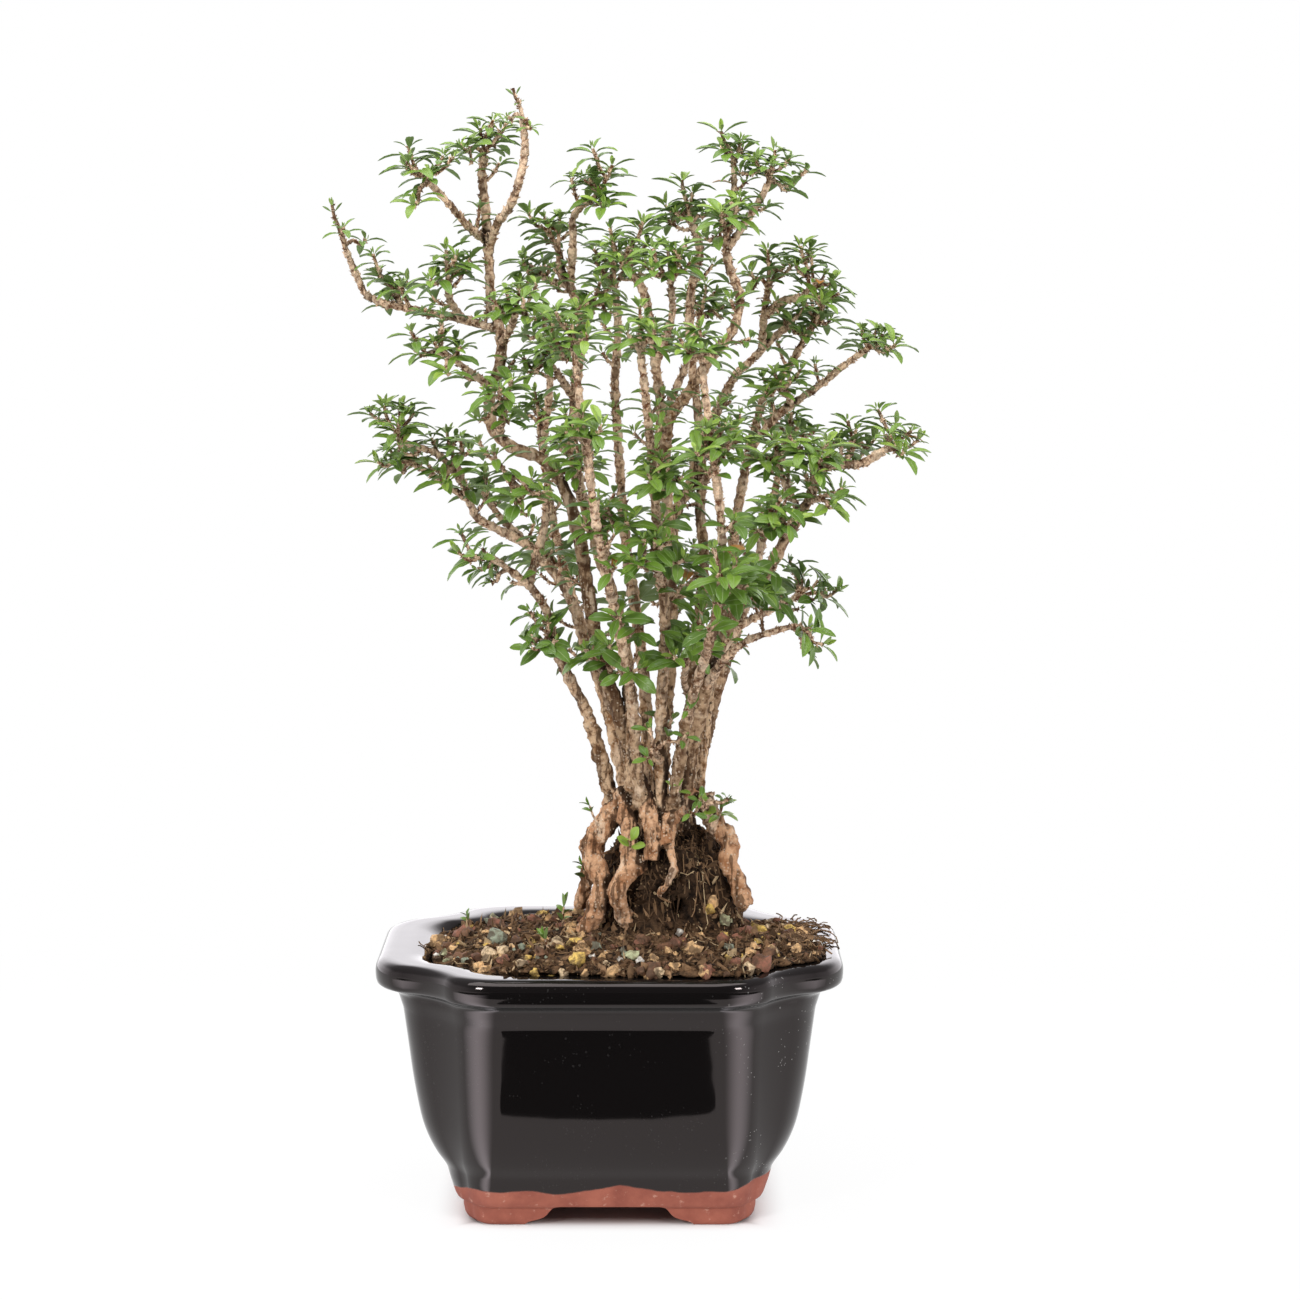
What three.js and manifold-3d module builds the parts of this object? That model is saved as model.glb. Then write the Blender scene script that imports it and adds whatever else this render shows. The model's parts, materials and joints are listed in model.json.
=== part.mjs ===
// Serissa bonsai in its glazed pot: a clump of thin stems on a mound of roots and soil.
// Millimetres, +Z up, the front of the pot towards -Y. Before the last step everything is
// measured from the middle of the pot's footprint.
import * as THREE from 'three';
import Module from 'manifold-3d';

const wasm = await Module();
wasm.setup();

// ---------------------------------------------------------------- driving dimensions
const CLEARANCE = 0.35; // gap between pieces that touch
const TAU = 2 * Math.PI;
const FINISH = {
  pot: { color: 0x0b0b0d, roughness: 0.12 },
  soil: { color: 0x3a291d, roughness: 0.95 },
  wood: { color: 0x9a7f66, roughness: 0.85 },
  leaf: { color: 0x4c7a34, roughness: 0.45 },
};

// The pot's plan: a rectangle whose four corners are cut by slightly hollow diagonals.
const POT = {
  halfWidth: 75,
  halfDepth: 61,
  frontHalfLength: 43, // from the middle of the front face to its corner
  sideHalfLength: 32, // from the middle of a side face to its corner
  cornerSoftness: 9, // how far a corner's rounding reaches along its two faces
  mostSoftness: 0.35, // the most of a diagonal that each rounding takes
  diagonalHollow: 0.05, // as a share of a diagonal's length
};
const RIM_TOP = 84;
// Under the rim the faces keep most of their length, so the diagonals narrow towards the feet.
const FACES = { kept: 0.953, from: 75, full: 60, mostOfWidth: 0.88, mostOfDepth: 0.78 };
// Low down, front and back stand further out than the sides, by this share of the rim's plan.
const STEEP_FRONT = { gain: 0.04, from: 46, full: 16 };

// Height and size of each level of the pot, the size as a share of the rim's plan.
const FOOT_TO_RIM = [
  [0, 0.6], [1.4, 0.622], [6.2, 0.63], [6.8, 0.656], [8.5, 0.668], [13.5, 0.69], [16.5, 0.7],
  [20, 0.737], [24, 0.768], [31.6, 0.807], [46, 0.843], [71.5, 0.892],
  [75, 0.965], [77.5, 0.994], [80.5, 1], [82.8, 0.983], [RIM_TOP, 0.945],
];
const RIM_TO_FLOOR = [[RIM_TOP, 0.8], [80, 0.76], [46, 0.745], [30, 0.68], [15.5, 0.5]];
const UNDER_RECESS = [[-1, 0.5], [6.8, 0.47]];
const FOOT_GAP_FRONT = { low: 27, high: 17, top: 6.8 }; // half widths of the gaps between feet
const FOOT_GAP_SIDE = { low: 13, high: 8, top: 6.8 };
const DRAIN_HOLE = { radius: 5, offset: 22, top: 20, sides: 12 };

// The soil heaps up towards the stems and spills over the rim at the front and the right.
const SOIL = {
  floor: 10, // below the pot's inner floor, so that the pot's inside cuts it off
  edge: 81.6,
  spillRise: 3.8,
  heapRise: 6.8,
  grain: 0.7,
  edgeShare: 0.8, // share of the rim's plan
  spillShare: 0.125, // how much further out it lies where it spills over
  levels: [0, 0.14, 0.34, 0.56, 0.78], // rings of the heap, from the edge inwards
  spillTowards: -0.27 * Math.PI, // the direction it spills to, from +X towards the front
  spillFrom: 0.1, // cosine of the turn from there at which it starts to spill, and is at its full
  spillFull: 0.6,
};
// The room over the rim that the heap may lie in: its share of the plan and its top.
const OVER_RIM = { innerShare: 0.79, outerShare: 1.2, top: 140 };
// The mound under the stems, as rings of height, half width and half depth.
const MOUND = { x: 18, y: 8, sides: 12, roughness: 0.1, rings: [
  [80, 28, 27], [88, 26, 25], [94, 23.5, 22.5], [101, 21.5, 20.5], [109, 19.5, 19], [115, 17, 16],
  [120, 10, 9],
] };
const CAVES = [
  { at: [31, -6, 115], size: [5.5, 8, 5] },
  { at: [22, -9, 98], size: [2.6, 8, 4] },
];
const CAVE = { sides: 7, roughness: 0.15, bluntness: 1.05, levels: [-1, -0.6, 0, 0.6, 1] };
const PEBBLES = {
  count: 20, smallest: 1.7, largest: 3.4, seed: 7, outermost: 0.12, spread: 0.5, scatter: 4,
  flatness: [1, 0.8, 0.65],
};

// The stump where roots and stems meet: height, half width, half depth.
const CROWN = {
  x: 16, y: 7, sides: 8, roughness: 0.12,
  rings: [[108, 11, 10], [117, 15, 15], [130, 15, 16], [136, 8, 8]],
};

// Leaves stand in crossed pairs or whorls at the end of every twig; low ones are larger.
const LEAF = {
  length: 10, width: 3.4, keel: 0.85, bend: 0.95, upperLean: 0.8, lowerLean: 1.2, leanSpread: 0.2,
  lowLength: 10.8, lowWidth: 4, lowBelow: 215, lengthSpread: 0.24, widthSpread: 0.16,
  spikeShare: 0.6, // size of the leaves on a bare spike
  keelAbove: 0.3, // share of the keel's depth that lies above the blade's middle line
  stalk: 0.1, // share of the length that may touch the twig
  seed: 1000,
  seedStep: 17,
};
const BARE_SPIKES = ['far_left', 'tall_spike']; // branches that end in nearly bare twigs
// Turn about the twig and tilt tried in this order until a leaf is clear, in radians.
const LEAF_TRIES = [
  [0, 0], [0.3, 0], [-0.3, 0], [0, -0.3], [0.55, 0], [-0.55, 0], [0, 0.35], [0.3, -0.4], [-0.3, -0.4],
];
// Swing of a twig's tip round its branch tried in this order, in radians.
const TIP_SWINGS = [0, 0.35, -0.35, 0.7, -0.7, 1.1, -1.1, 1.6, -1.6, 2.2, -2.2];
const TWIG = {
  base: 1.7, tip: 1.2, leafLevel: 1.3, forks: [1.6, 3.2],
  elbow: 0.45, // where it bends, as a share of its length
  bow: 0.12, // how far the elbow stands out, as a share of its length
};
// Smallest gaps between a new piece of a spray and what is already in place.
const ROOM = { leaf: 0.45, leafInSpray: 0.12, twig: 0.3, sideTwig: 0.6 };

const BARK = { rise: 0.09, pitch: 3 }; // knots and hollows, as a share of the thickness
const THICK = 3.2; // a stem thicker than this starts in the crown
const SIDES = { thick: 5, thin: 4 };

// Roots and stems are drawn on one front view, in perspective, from an eye in front of the pot.
// A drawn point has its place across and down the square sheet, in sheet steps, and its depth
// in mm behind the pot's middle.
const SHEET = { middle: 650, stepsPerRadian: 3424.5 };
const EYE = { x: 13, y: -1100, z: 320, downTilt: 0.1266 };
const STRAIGHT = 0.9; // a point nearer than this to the straight line past it is left out

// Roots: name, thickness at the crown and at the far end, drawn points along the middle.
const ROOTS = [
  ['left', 6.8, 5.2,
    [[622, 796, 0], [612, 815, -4], [600, 830, -6], [589, 847, -6], [595, 864, -7], [602, 885, -8],
     [597, 907, -9], [583, 934, -9]]],
  ['left_knee', 6.0, 4.4,
    [[622, 788, -3], [625, 810, -6], [630, 832, -9], [628, 868, -11]]],
  ['arch', 5.6, 4.6,
    [[642, 862, -8], [627, 873, -12], [619, 888, -14], [620, 906, -13], [632, 926, -9]]],
  ['front', 5.6, 4.4,
    [[637, 780, -4], [645, 802, -8], [651, 824, -11], [652, 860, -12]]],
  ['middle', 5.8, 4.4,
    [[690, 790, -2], [680, 806, -6], [669, 820, -9], [667, 846, -12]]],
  ['right', 6.4, 4.8,
    [[702, 796, 2], [717, 826, 2], [730, 843, 2], [727, 860, 1], [736, 878, 0], [744, 906, -1]]],
  ['thread', 2.2, 1.8,
    [[667, 842, -11], [674, 868, -14], [658, 896, -14]]],
  ['left_back', 6.0, 4.0,
    [[618, 800, 12], [601, 828, 16], [592, 862, 19], [580, 908, 23]]],
  ['back', 6.0, 4.0,
    [[655, 800, 20], [658, 830, 24], [664, 868, 27], [672, 908, 32]]],
  ['right_back', 5.6, 4.0,
    [[702, 800, 16], [718, 832, 19], [727, 868, 22], [744, 908, 26]]],
];

// Stems and branches, the thick ones first: name, thickness at the start and at the end, drawn
// points along the middle, then the drawn tips of the leafy spray that grows on from its end.
const STEMS = [
  ['left_low', 4.8, 2.0,
    [[616, 812, 0], [602, 762, -3], [588, 715, -6], [570, 680, -10], [556, 650, -14], [549, 618, -18],
     [536, 593, -22], [510, 570, -26]],
    [[482, 548, -28], [458, 552, -34], [492, 582, -22]]],
  ['left_low_twig', 2.0, 1.6,
    [[560, 660, -13], [548, 645, -20]],
    [[548, 622, -26], [532, 648, -28]]],
  ['left_dark', 4.6, 2.0,
    [[640, 800, 10], [622, 725, 14], [600, 680, 18], [585, 645, 21], [575, 610, 24], [558, 578, 26],
     [532, 548, 28], [499, 530, 28], [478, 518, 26], [466, 490, 22], [455, 462, 18]],
    [[447, 432, 22], [470, 450, 10]]],
  ['left_dark_low', 2.2, 1.6,
    [[470, 500, 24], [440, 480, 24], [414, 464, 24]],
    [[390, 450, 26], [402, 472, 32], [378, 462, 16]]],
  ['left_dark_high', 2.2, 1.6,
    [[464, 486, 21], [440, 456, 14], [404, 442, 10]],
    [[384, 406, 8], [413, 410, 16], [398, 424, -2]]],
  ['left_dark_back', 2.4, 1.6,
    [[532, 548, 28], [503, 520, 36], [487, 500, 42]],
    []],
  ['left_front', 2.6, 1.6,
    [[572, 522, -12], [545, 501, -18], [520, 489, -24], [508, 477, -28]],
    [[494, 452, -33], [527, 516, -38]]],
  ['left_top', 5.2, 2.4,
    [[646, 812, -4], [632, 762, -6], [620, 715, -8], [606, 675, -9], [595, 635, -10], [588, 590, -11],
     [578, 532, -12], [564, 488, -12], [543, 460, -12], [512, 447, -12], [493, 428, -10], [489, 400, -8],
     [499, 368, -6], [501, 335, -4], [491, 300, -2], [489, 262, 0], [487, 235, 2], [485, 205, 5],
     [482, 175, 8], [484, 155, 8]],
    [[480, 128, 8], [460, 146, 0], [497, 140, 16]]],
  ['tall_spike', 2.8, 1.8,
    [[489, 252, 1], [497, 224, -6], [510, 206, -11], [519, 182, -14], [525, 150, -13], [523, 120, -12]],
    [[513, 88, -13], [531, 128, -18], [507, 116, -22]]],
  ['left_arm', 2.4, 1.6,
    [[487, 242, 2], [468, 226, -6], [448, 203, -12], [430, 183, -16]],
    [[407, 161, -20], [443, 156, -10], [414, 206, -26]]],
  ['far_left', 2.6, 1.8,
    [[499, 330, -4], [458, 318, 2], [420, 311, 8], [388, 304, 12], [368, 296, 14], [355, 272, 14],
     [345, 247, 12]],
    [[332, 205, 10], [366, 240, 20], [343, 228, 2]]],
  ['far_left_low', 2.0, 1.6,
    [[402, 307, 10], [394, 292, 16]],
    [[377, 273, 20], [407, 281, 24]]],
  ['far_left_inner', 2.2, 1.6,
    [[462, 319, 1], [450, 300, -8], [448, 285, -14]],
    [[446, 250, -18], [470, 258, -8], [430, 280, -22]]],
  ['left_shoulder', 2.4, 1.6,
    [[493, 388, -8], [470, 372, -14], [452, 358, -18]],
    [[434, 342, -22], [448, 374, -30], [414, 350, -16]]],
  ['left_inner', 2.4, 1.6,
    [[499, 435, -11], [503, 415, -24], [505, 402, -32]],
    []],
  ['left_shelf', 2.2, 1.6,
    [[501, 345, -4], [512, 325, -16], [515, 312, -24]],
    []],
  ['mid_left', 4.6, 2.4,
    [[632, 790, -8], [630, 700, -8], [625, 650, -7], [617, 610, -5], [607, 578, -3], [597, 548, 0],
     [586, 510, 3], [578, 480, 6], [573, 440, 10], [575, 400, 14], [580, 350, 17], [578, 305, 18],
     [563, 275, 18], [559, 252, 18]],
    [[560, 217, 18], [528, 213, 22], [545, 236, 30]]],
  ['mid_top', 2.4, 1.6,
    [[570, 290, 18], [573, 240, 10], [574, 216, 8], [597, 195, 6]],
    [[612, 165, 6], [589, 176, 14], [604, 208, -2]]],
  ['mid_low_front', 2.6, 1.6,
    [[607, 578, -3], [606, 552, -20], [604, 534, -34]],
    [[603, 510, -42], [628, 522, -46], [582, 524, -42]]],
  ['mid_side', 2.2, 1.6,
    [[584, 500, 4], [577, 488, -10], [575, 476, -18]],
    []],
  ['mid_up_front', 2.4, 1.6,
    [[575, 400, 14], [562, 380, 2], [552, 365, -6]],
    [[540, 345, -12], [560, 350, -22]]],
  ['mid_up_inner', 2.2, 1.6,
    [[579, 335, 17], [590, 315, 8], [593, 305, 4]],
    []],
  ['upper_left_back', 2.2, 1.6,
    [[568, 285, 18], [548, 280, 28], [540, 275, 34]],
    [[525, 258, 38], [545, 262, 46]]],
  ['centre_left', 4.2, 2.2,
    [[647, 805, 4], [647, 740, 8], [645, 690, 12], [637, 620, 18], [628, 560, 24], [622, 500, 30],
     [618, 440, 34], [615, 380, 36], [618, 330, 36], [615, 290, 34]],
    [[612, 244, 32], [598, 268, 40]]],
  ['centre_front', 4.0, 2.0,
    [[661, 808, -6], [661, 740, -10], [662, 690, -14], [665, 629, -20], [661, 560, -27], [655, 500, -34],
     [650, 440, -40], [645, 390, -44], [641, 358, -46]],
    [[627, 332, -48], [655, 330, -52]]],
  ['centre_front_low', 2.2, 1.6,
    [[663, 590, -24], [658, 572, -34], [654, 562, -40]],
    [[655, 538, -48], [636, 562, -50]]],
  ['centre_front_mid', 2.2, 1.6,
    [[656, 505, -34], [662, 490, -42]],
    []],
  ['rugged', 4.0, 2.4,
    [[655, 800, 10], [668, 700, 12], [672, 620, 10], [670, 540, 6], [665, 470, 2], [660, 400, 0],
     [655, 360, -2], [650, 320, -4], [643, 290, -4], [630, 270, -2]],
    [[612, 242, -8], [643, 222, -4]]],
  ['rugged_side', 2.6, 1.6,
    [[655, 365, -2], [672, 315, -10], [671, 285, -14]],
    [[668, 248, -16], [652, 268, -26]]],
  ['centre_right', 4.4, 2.2,
    [[690, 800, 2], [692, 700, 4], [693, 663, 6], [702, 594, 8], [704, 560, 9], [700, 510, 12],
     [702, 478, 14], [700, 430, 16], [694, 380, 20], [690, 330, 24], [691, 290, 26], [700, 250, 24],
     [692, 225, 22]],
    [[682, 180, 18], [665, 205, 24], [707, 212, 30]]],
  ['diagonal', 3.8, 2.4,
    [[664, 460, 2], [669, 421, -8], [692, 387, -12], [715, 352, -16], [730, 335, -16], [740, 300, -12],
     [728, 262, -8], [726, 242, -6]],
    []],
  ['knot_right', 2.2, 1.6,
    [[728, 250, -7], [746, 222, -4], [760, 200, -2], [769, 182, 0]],
    [[775, 150, 2], [788, 190, 6], [755, 160, -6]]],
  ['knot_up', 2.0, 1.4,
    [[727, 240, -6], [733, 205, -2], [734, 165, 0]],
    [[721, 131, 0], [742, 150, 6]]],
  ['inner_right', 3.6, 2.0,
    [[671, 550, 8], [673, 518, 10], [692, 484, 14], [700, 452, 18], [711, 423, 22], [722, 401, 26],
     [735, 376, 30], [750, 362, 32], [770, 341, 34], [786, 328, 36]],
    [[803, 308, 38], [776, 308, 44]]],
  ['shelf_up', 2.4, 1.6,
    [[762, 350, 33], [764, 315, 26], [768, 290, 22]],
    [[768, 250, 20], [785, 262, 28]]],
  ['shelf_right', 2.4, 1.6,
    [[764, 318, 27], [780, 302, 20], [800, 297, 16], [808, 290, 12]],
    [[801, 246, 12], [834, 280, 10], [822, 304, 2]]],
  ['right_inner_front', 2.4, 1.6,
    [[703, 485, 13], [718, 462, -2], [725, 452, -10]],
    [[736, 440, -18], [740, 414, -10]]],
  ['right_three', 4.2, 2.0,
    [[697, 800, 8], [705, 720, 12], [716, 650, 18], [727, 590, 24], [735, 530, 30], [745, 470, 36],
     [757, 420, 40], [765, 396, 42], [779, 380, 42], [791, 364, 42], [803, 342, 42], [812, 328, 40]],
    [[826, 296, 38], [830, 320, 46], [812, 300, 50]]],
  ['far_right', 2.8, 1.8,
    [[749, 450, 37], [779, 414, 30], [797, 401, 28], [820, 385, 26], [843, 366, 24], [864, 351, 22]],
    [[883, 334, 20], [870, 338, 30], [896, 344, 12]]],
  ['far_right_in', 2.2, 1.6,
    [[792, 404, 29], [786, 390, 20]],
    [[775, 374, 14], [800, 370, 12]]],
  ['main_right', 5.4, 2.4,
    [[684, 810, -2], [688, 762, -4], [700, 709, -8], [711, 663, -12], [725, 634, -15], [743, 599, -18],
     [766, 574, -20], [785, 540, -20], [800, 515, -20], [813, 490, -18], [817, 470, -16], [835, 465, -14],
     [860, 464, -12], [882, 452, -10]],
    [[918, 440, -8], [896, 424, -2], [904, 452, -20]]],
  ['main_right_mid', 2.2, 1.6,
    [[845, 465, -13], [850, 452, -6]],
    [[856, 430, -2], [874, 440, 8]]],
  ['main_right_up', 2.2, 1.6,
    [[817, 472, -16], [812, 460, -24]],
    []],
  ['main_right_down', 2.0, 1.6,
    [[808, 500, -19], [820, 498, -28]],
    [[832, 508, -34], [842, 488, -28]]],
  ['main_right_in', 2.2, 1.6,
    [[787, 536, -20], [776, 522, -30]],
    [[770, 505, -36], [757, 530, -40], [792, 520, -42]]],
  ['main_right_tall', 2.6, 1.6,
    [[800, 515, -20], [786, 485, -12], [778, 465, -8]],
    [[775, 442, -6], [757, 458, -14]]],
  ['right_low', 2.8, 1.6,
    [[705, 690, -10], [722, 662, -20], [745, 642, -26], [768, 633, -30], [790, 627, -32]],
    [[824, 644, -34], [806, 652, -26], [808, 628, -40]]],
  ['right_low_back', 2.8, 1.6,
    [[712, 665, -12], [741, 626, -4], [767, 612, 2], [793, 599, 6]],
    [[818, 580, 8], [838, 590, 2], [803, 574, 14]]],
  ['right_low_inner', 2.2, 1.6,
    [[745, 596, -18], [745, 584, -28]],
    []],
  ['low_right', 2.2, 1.6,
    [[691, 702, 4], [684, 682, -8], [686, 665, -16]],
    [[694, 640, -24], [702, 612, -22], [674, 656, -28]]],
  ['low_middle', 2.0, 1.4,
    [[661, 765, -9], [655, 750, -17]],
    [[650, 728, -24], [648, 758, -26], [686, 735, -20]]],
  ['low_left', 2.0, 1.4,
    [[608, 682, -9], [610, 668, -18]],
    [[610, 645, -26], [640, 668, -28]]],
  ['foot_shoot', 1.8, 1.4,
    [[703, 815, -4], [704, 806, -10]],
    [[700, 798, -18], [728, 798, -8], [690, 812, -18]]],
  ['back_left', 4.2, 2.0,
    [[630, 805, 16], [610, 720, 26], [590, 650, 36], [570, 590, 46], [555, 530, 54], [545, 470, 60],
     [540, 425, 64]],
    [[535, 392, 68], [556, 402, 74], [518, 412, 70]]],
  ['back_left_low', 2.2, 1.6,
    [[572, 595, 45], [552, 572, 56]],
    [[535, 558, 62], [552, 545, 70]]],
  ['back_left_high', 2.4, 1.6,
    [[543, 450, 62], [550, 380, 60], [548, 345, 58]],
    [[542, 312, 58], [564, 318, 66]]],
  ['back_centre', 4.2, 2.0,
    [[662, 805, 20], [665, 720, 30], [668, 640, 42], [660, 560, 54], [655, 480, 62], [660, 410, 68],
     [655, 360, 68]],
    [[650, 322, 68], [674, 335, 74], [632, 345, 74]]],
  ['back_centre_low', 2.2, 1.6,
    [[668, 640, 42], [672, 605, 56]],
    []],
  ['back_centre_high', 2.4, 1.6,
    [[659, 425, 67], [688, 360, 58], [700, 320, 52]],
    [[706, 284, 50], [690, 300, 60]]],
  ['back_right', 4.2, 2.0,
    [[690, 805, 18], [715, 700, 28], [740, 620, 40], [760, 550, 52], [775, 490, 60], [785, 445, 62]],
    [[792, 412, 62], [770, 410, 70], [806, 430, 68]]],
  ['back_right_low', 2.2, 1.6,
    [[742, 612, 41], [760, 592, 54]],
    [[766, 572, 62], [782, 596, 56]]],
  ['front_left', 3.8, 2.0,
    [[640, 805, -8], [632, 700, -20], [618, 625, -36], [602, 555, -50], [592, 495, -57], [587, 448, -60]],
    [[582, 412, -62], [602, 425, -70]]],
  ['front_left_high', 2.4, 1.6,
    [[591, 478, -58], [578, 385, -52], [574, 352, -46]],
    [[566, 322, -42], [588, 335, -54]]],
  ['front_right', 3.8, 2.0,
    [[672, 805, -8], [690, 705, -22], [710, 640, -38], [722, 570, -50], [720, 510, -57], [714, 462, -60]],
    [[708, 430, -60], [732, 440, -62]]],
  ['front_right_high', 2.4, 1.6,
    [[719, 492, -57], [706, 400, -52], [702, 362, -46]],
    [[700, 328, -42], [686, 350, -54]]],
  ['front_right_low', 2.2, 1.6,
    [[716, 610, -44], [728, 590, -54]],
    [[734, 566, -60], [748, 585, -54]]],
];

// ---------------------------------------------------------------- helpers
// The real place of a drawn point, to the nearest millimetre.
function real([across, down, depth]) {
  const away = depth - EYE.y;
  const rise = (SHEET.middle - down) / SHEET.stepsPerRadian;
  const [level, dip] = [Math.cos(EYE.downTilt), Math.sin(EYE.downTilt)];
  const drop = away * (rise * level - dip) / (level + rise * dip);
  const range = away * level - drop * dip;
  const x = EYE.x + range * (across - SHEET.middle) / SHEET.stepsPerRadian;
  return new THREE.Vector3(x, depth, EYE.z + drop).round();
}

// A line of points without those that lie on the straight way between their neighbours.
function thinned(line) {
  const way = new THREE.Line3(line[0], line.at(-1));
  const off = line.map((p) => way.closestPointToPoint(p, true, new THREE.Vector3()).distanceTo(p));
  const widest = Math.max(...off);
  if (line.length < 3 || widest < STRAIGHT) {
    return [line[0], line.at(-1)];
  }
  const turn = off.indexOf(widest);
  return [...thinned(line.slice(0, turn + 1)).slice(0, -1), ...thinned(line.slice(turn))];
}

// Repeatable random numbers between 0 and 1, from a linear congruential generator.
const DICE = { scatter: 2654435761, factor: 1664525, step: 1013904223, size: 2 ** 32 };
function dice(seed) {
  let state = seed * DICE.scatter % DICE.size;
  return () => {
    state = (state * DICE.factor + DICE.step) % DICE.size;
    return state / DICE.size;
  };
}

// Uneven but repeatable relief between -1 and 1.
const WAVES = [[0.71, 0.37, 0.53, 0], [-0.29, 0.83, 0, 2.1], [1.37, 1.13, -0.61, 0.7]];
function relief(x, y, z = 0) {
  const heights = WAVES.map(([alongX, alongY, alongZ, start]) => Math.sin(
    x * alongX + y * alongY + z * alongZ + start));
  return heights.reduce((sum, height) => sum + height) / WAVES.length;
}

// A closed solid from rings of points. A ring of one point closes the skin to a tip.
function skin(rings) {
  const points = rings.flat();
  const triangles = [];
  let start = 0;
  for (let k = 0; k < rings.length - 1; k += 1) {
    const here = rings[k].length;
    const next = rings[k + 1].length;
    const after = start + here;
    const sides = Math.max(here, next);
    for (let i = 0; i < sides; i += 1) {
      const j = (i + 1) % sides;
      if (here > 1 && next > 1) {
        triangles.push([start + i, start + j, after + j], [start + i, after + j, after + i]);
      } else if (here > 1) {
        triangles.push([start + i, start + j, after]);
      } else {
        triangles.push([start, after + j, after + i]);
      }
    }
    start = after;
  }
  for (let i = 1; i < rings[0].length - 1; i += 1) {
    triangles.push([0, i + 1, i]);
  }
  for (let i = 1; i < rings.at(-1).length - 1; i += 1) {
    triangles.push([start, start + i, start + i + 1]);
  }
  return solid(points, triangles);
}

// A manifold from points and triangles, turned right side out if need be.
function solid(points, triangles) {
  let volume = 0;
  for (const [a, b, c] of triangles) {
    volume += points[a].dot(new THREE.Vector3().crossVectors(points[b], points[c]));
  }
  const facing = volume < 0 ? triangles.map(([a, b, c]) => [a, c, b]) : triangles;
  return new wasm.Manifold(new wasm.Mesh({
    numProp: 3,
    vertProperties: Float32Array.from(points.flatMap((p) => [p.x, p.y, p.z])),
    triVerts: Uint32Array.from(facing.flat()),
  }));
}

// The largest separate body of a solid; small scraps cut off by a neighbour are dropped.
function mainBody(body) {
  return body.decompose().sort((a, b) => b.volume() - a.volume())[0];
}

// One piece as a mesh whose own origin is at the given point.
function piece(name, body, finish, at) {
  const { vertProperties, triVerts } = body.getMesh();
  const geometry = new THREE.BufferGeometry();
  geometry.setAttribute('position', new THREE.BufferAttribute(new Float32Array(vertProperties), 3));
  geometry.setIndex([...triVerts]);
  geometry.translate(-at.x, -at.y, -at.z);
  geometry.computeVertexNormals();
  const mesh = new THREE.Mesh(geometry, new THREE.MeshStandardMaterial({ ...finish, metalness: 0 }));
  mesh.name = name;
  mesh.position.copy(at);
  return mesh;
}

// ---------------------------------------------------------------- pot
// One round of a plan, anticlockwise from the right-hand face.
function outline(halfWidth, halfDepth, frontHalfLength, sideHalfLength) {
  const sideCorner = new THREE.Vector2(halfWidth, sideHalfLength);
  const faceCorner = new THREE.Vector2(frontHalfLength, halfDepth);
  const slant = faceCorner.clone().sub(sideCorner);
  const diagonal = slant.length();
  slant.normalize();
  const soft = Math.min(POT.cornerSoftness, POT.mostSoftness * diagonal);
  const bend = (before, corner, after) => new THREE.QuadraticBezierCurve(before, corner, after).getPoints(2);
  const hollow = new THREE.Vector2(-slant.y, slant.x).multiplyScalar(POT.diagonalHollow * diagonal);
  const quarter = [
    ...bend(sideCorner.clone().add(new THREE.Vector2(0, -soft)), sideCorner,
      sideCorner.clone().addScaledVector(slant, soft)),
    sideCorner.clone().lerp(faceCorner, 0.5).add(hollow),
    ...bend(faceCorner.clone().addScaledVector(slant, -soft), faceCorner,
      faceCorner.clone().add(new THREE.Vector2(-soft, 0))),
  ];
  const mirrored = (sx, sy) => quarter.map((p) => new THREE.Vector2(p.x * sx, p.y * sy));
  return [mirrored(1, 1), mirrored(-1, 1).reverse(), mirrored(-1, -1), mirrored(1, -1).reverse()].flat();
}

const PLAN = outline(POT.halfWidth, POT.halfDepth, POT.frontHalfLength, POT.sideHalfLength);
const scaledPlan = (z, share) => PLAN.map((p) => new THREE.Vector3(p.x * share, p.y * share, z));

// The pot's plan at a height, for a share of the rim's width.
function planAt(z, share) {
  const { smoothstep, lerp } = THREE.MathUtils;
  const halfWidth = POT.halfWidth * share;
  const gain = STEEP_FRONT.gain * (1 - smoothstep(z, STEEP_FRONT.full, STEEP_FRONT.from));
  const halfDepth = POT.halfDepth * (share + gain);
  const faces = lerp(FACES.kept, share, smoothstep(z, FACES.full, FACES.from));
  return outline(halfWidth, halfDepth, Math.min(POT.frontHalfLength * faces, halfWidth * FACES.mostOfWidth),
    Math.min(POT.sideHalfLength * faces, halfDepth * FACES.mostOfDepth))
    .map((p) => new THREE.Vector3(p.x, p.y, z));
}

// A slot between two feet, wider at the ground, along X or along Y.
function footGap({ low, high, top }, alongX) {
  const reach = POT.halfWidth;
  const ring = (run) => [[-low, -1], [low, -1], [high, top], [-high, top]]
    .map(([across, z]) => (alongX ? new THREE.Vector3(run, across, z) : new THREE.Vector3(across, run, z)));
  return skin([ring(-reach), ring(reach)]);
}

// An upright round hole through the pot's floor.
function drainHole(x) {
  const { radius, sides, top } = DRAIN_HOLE;
  const ring = (z) => Array.from({ length: sides }, (_, i) => new THREE.Vector3(
    x + radius * Math.cos(i * TAU / sides), radius * Math.sin(i * TAU / sides), z));
  return skin([ring(0), ring(top)]);
}

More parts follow.
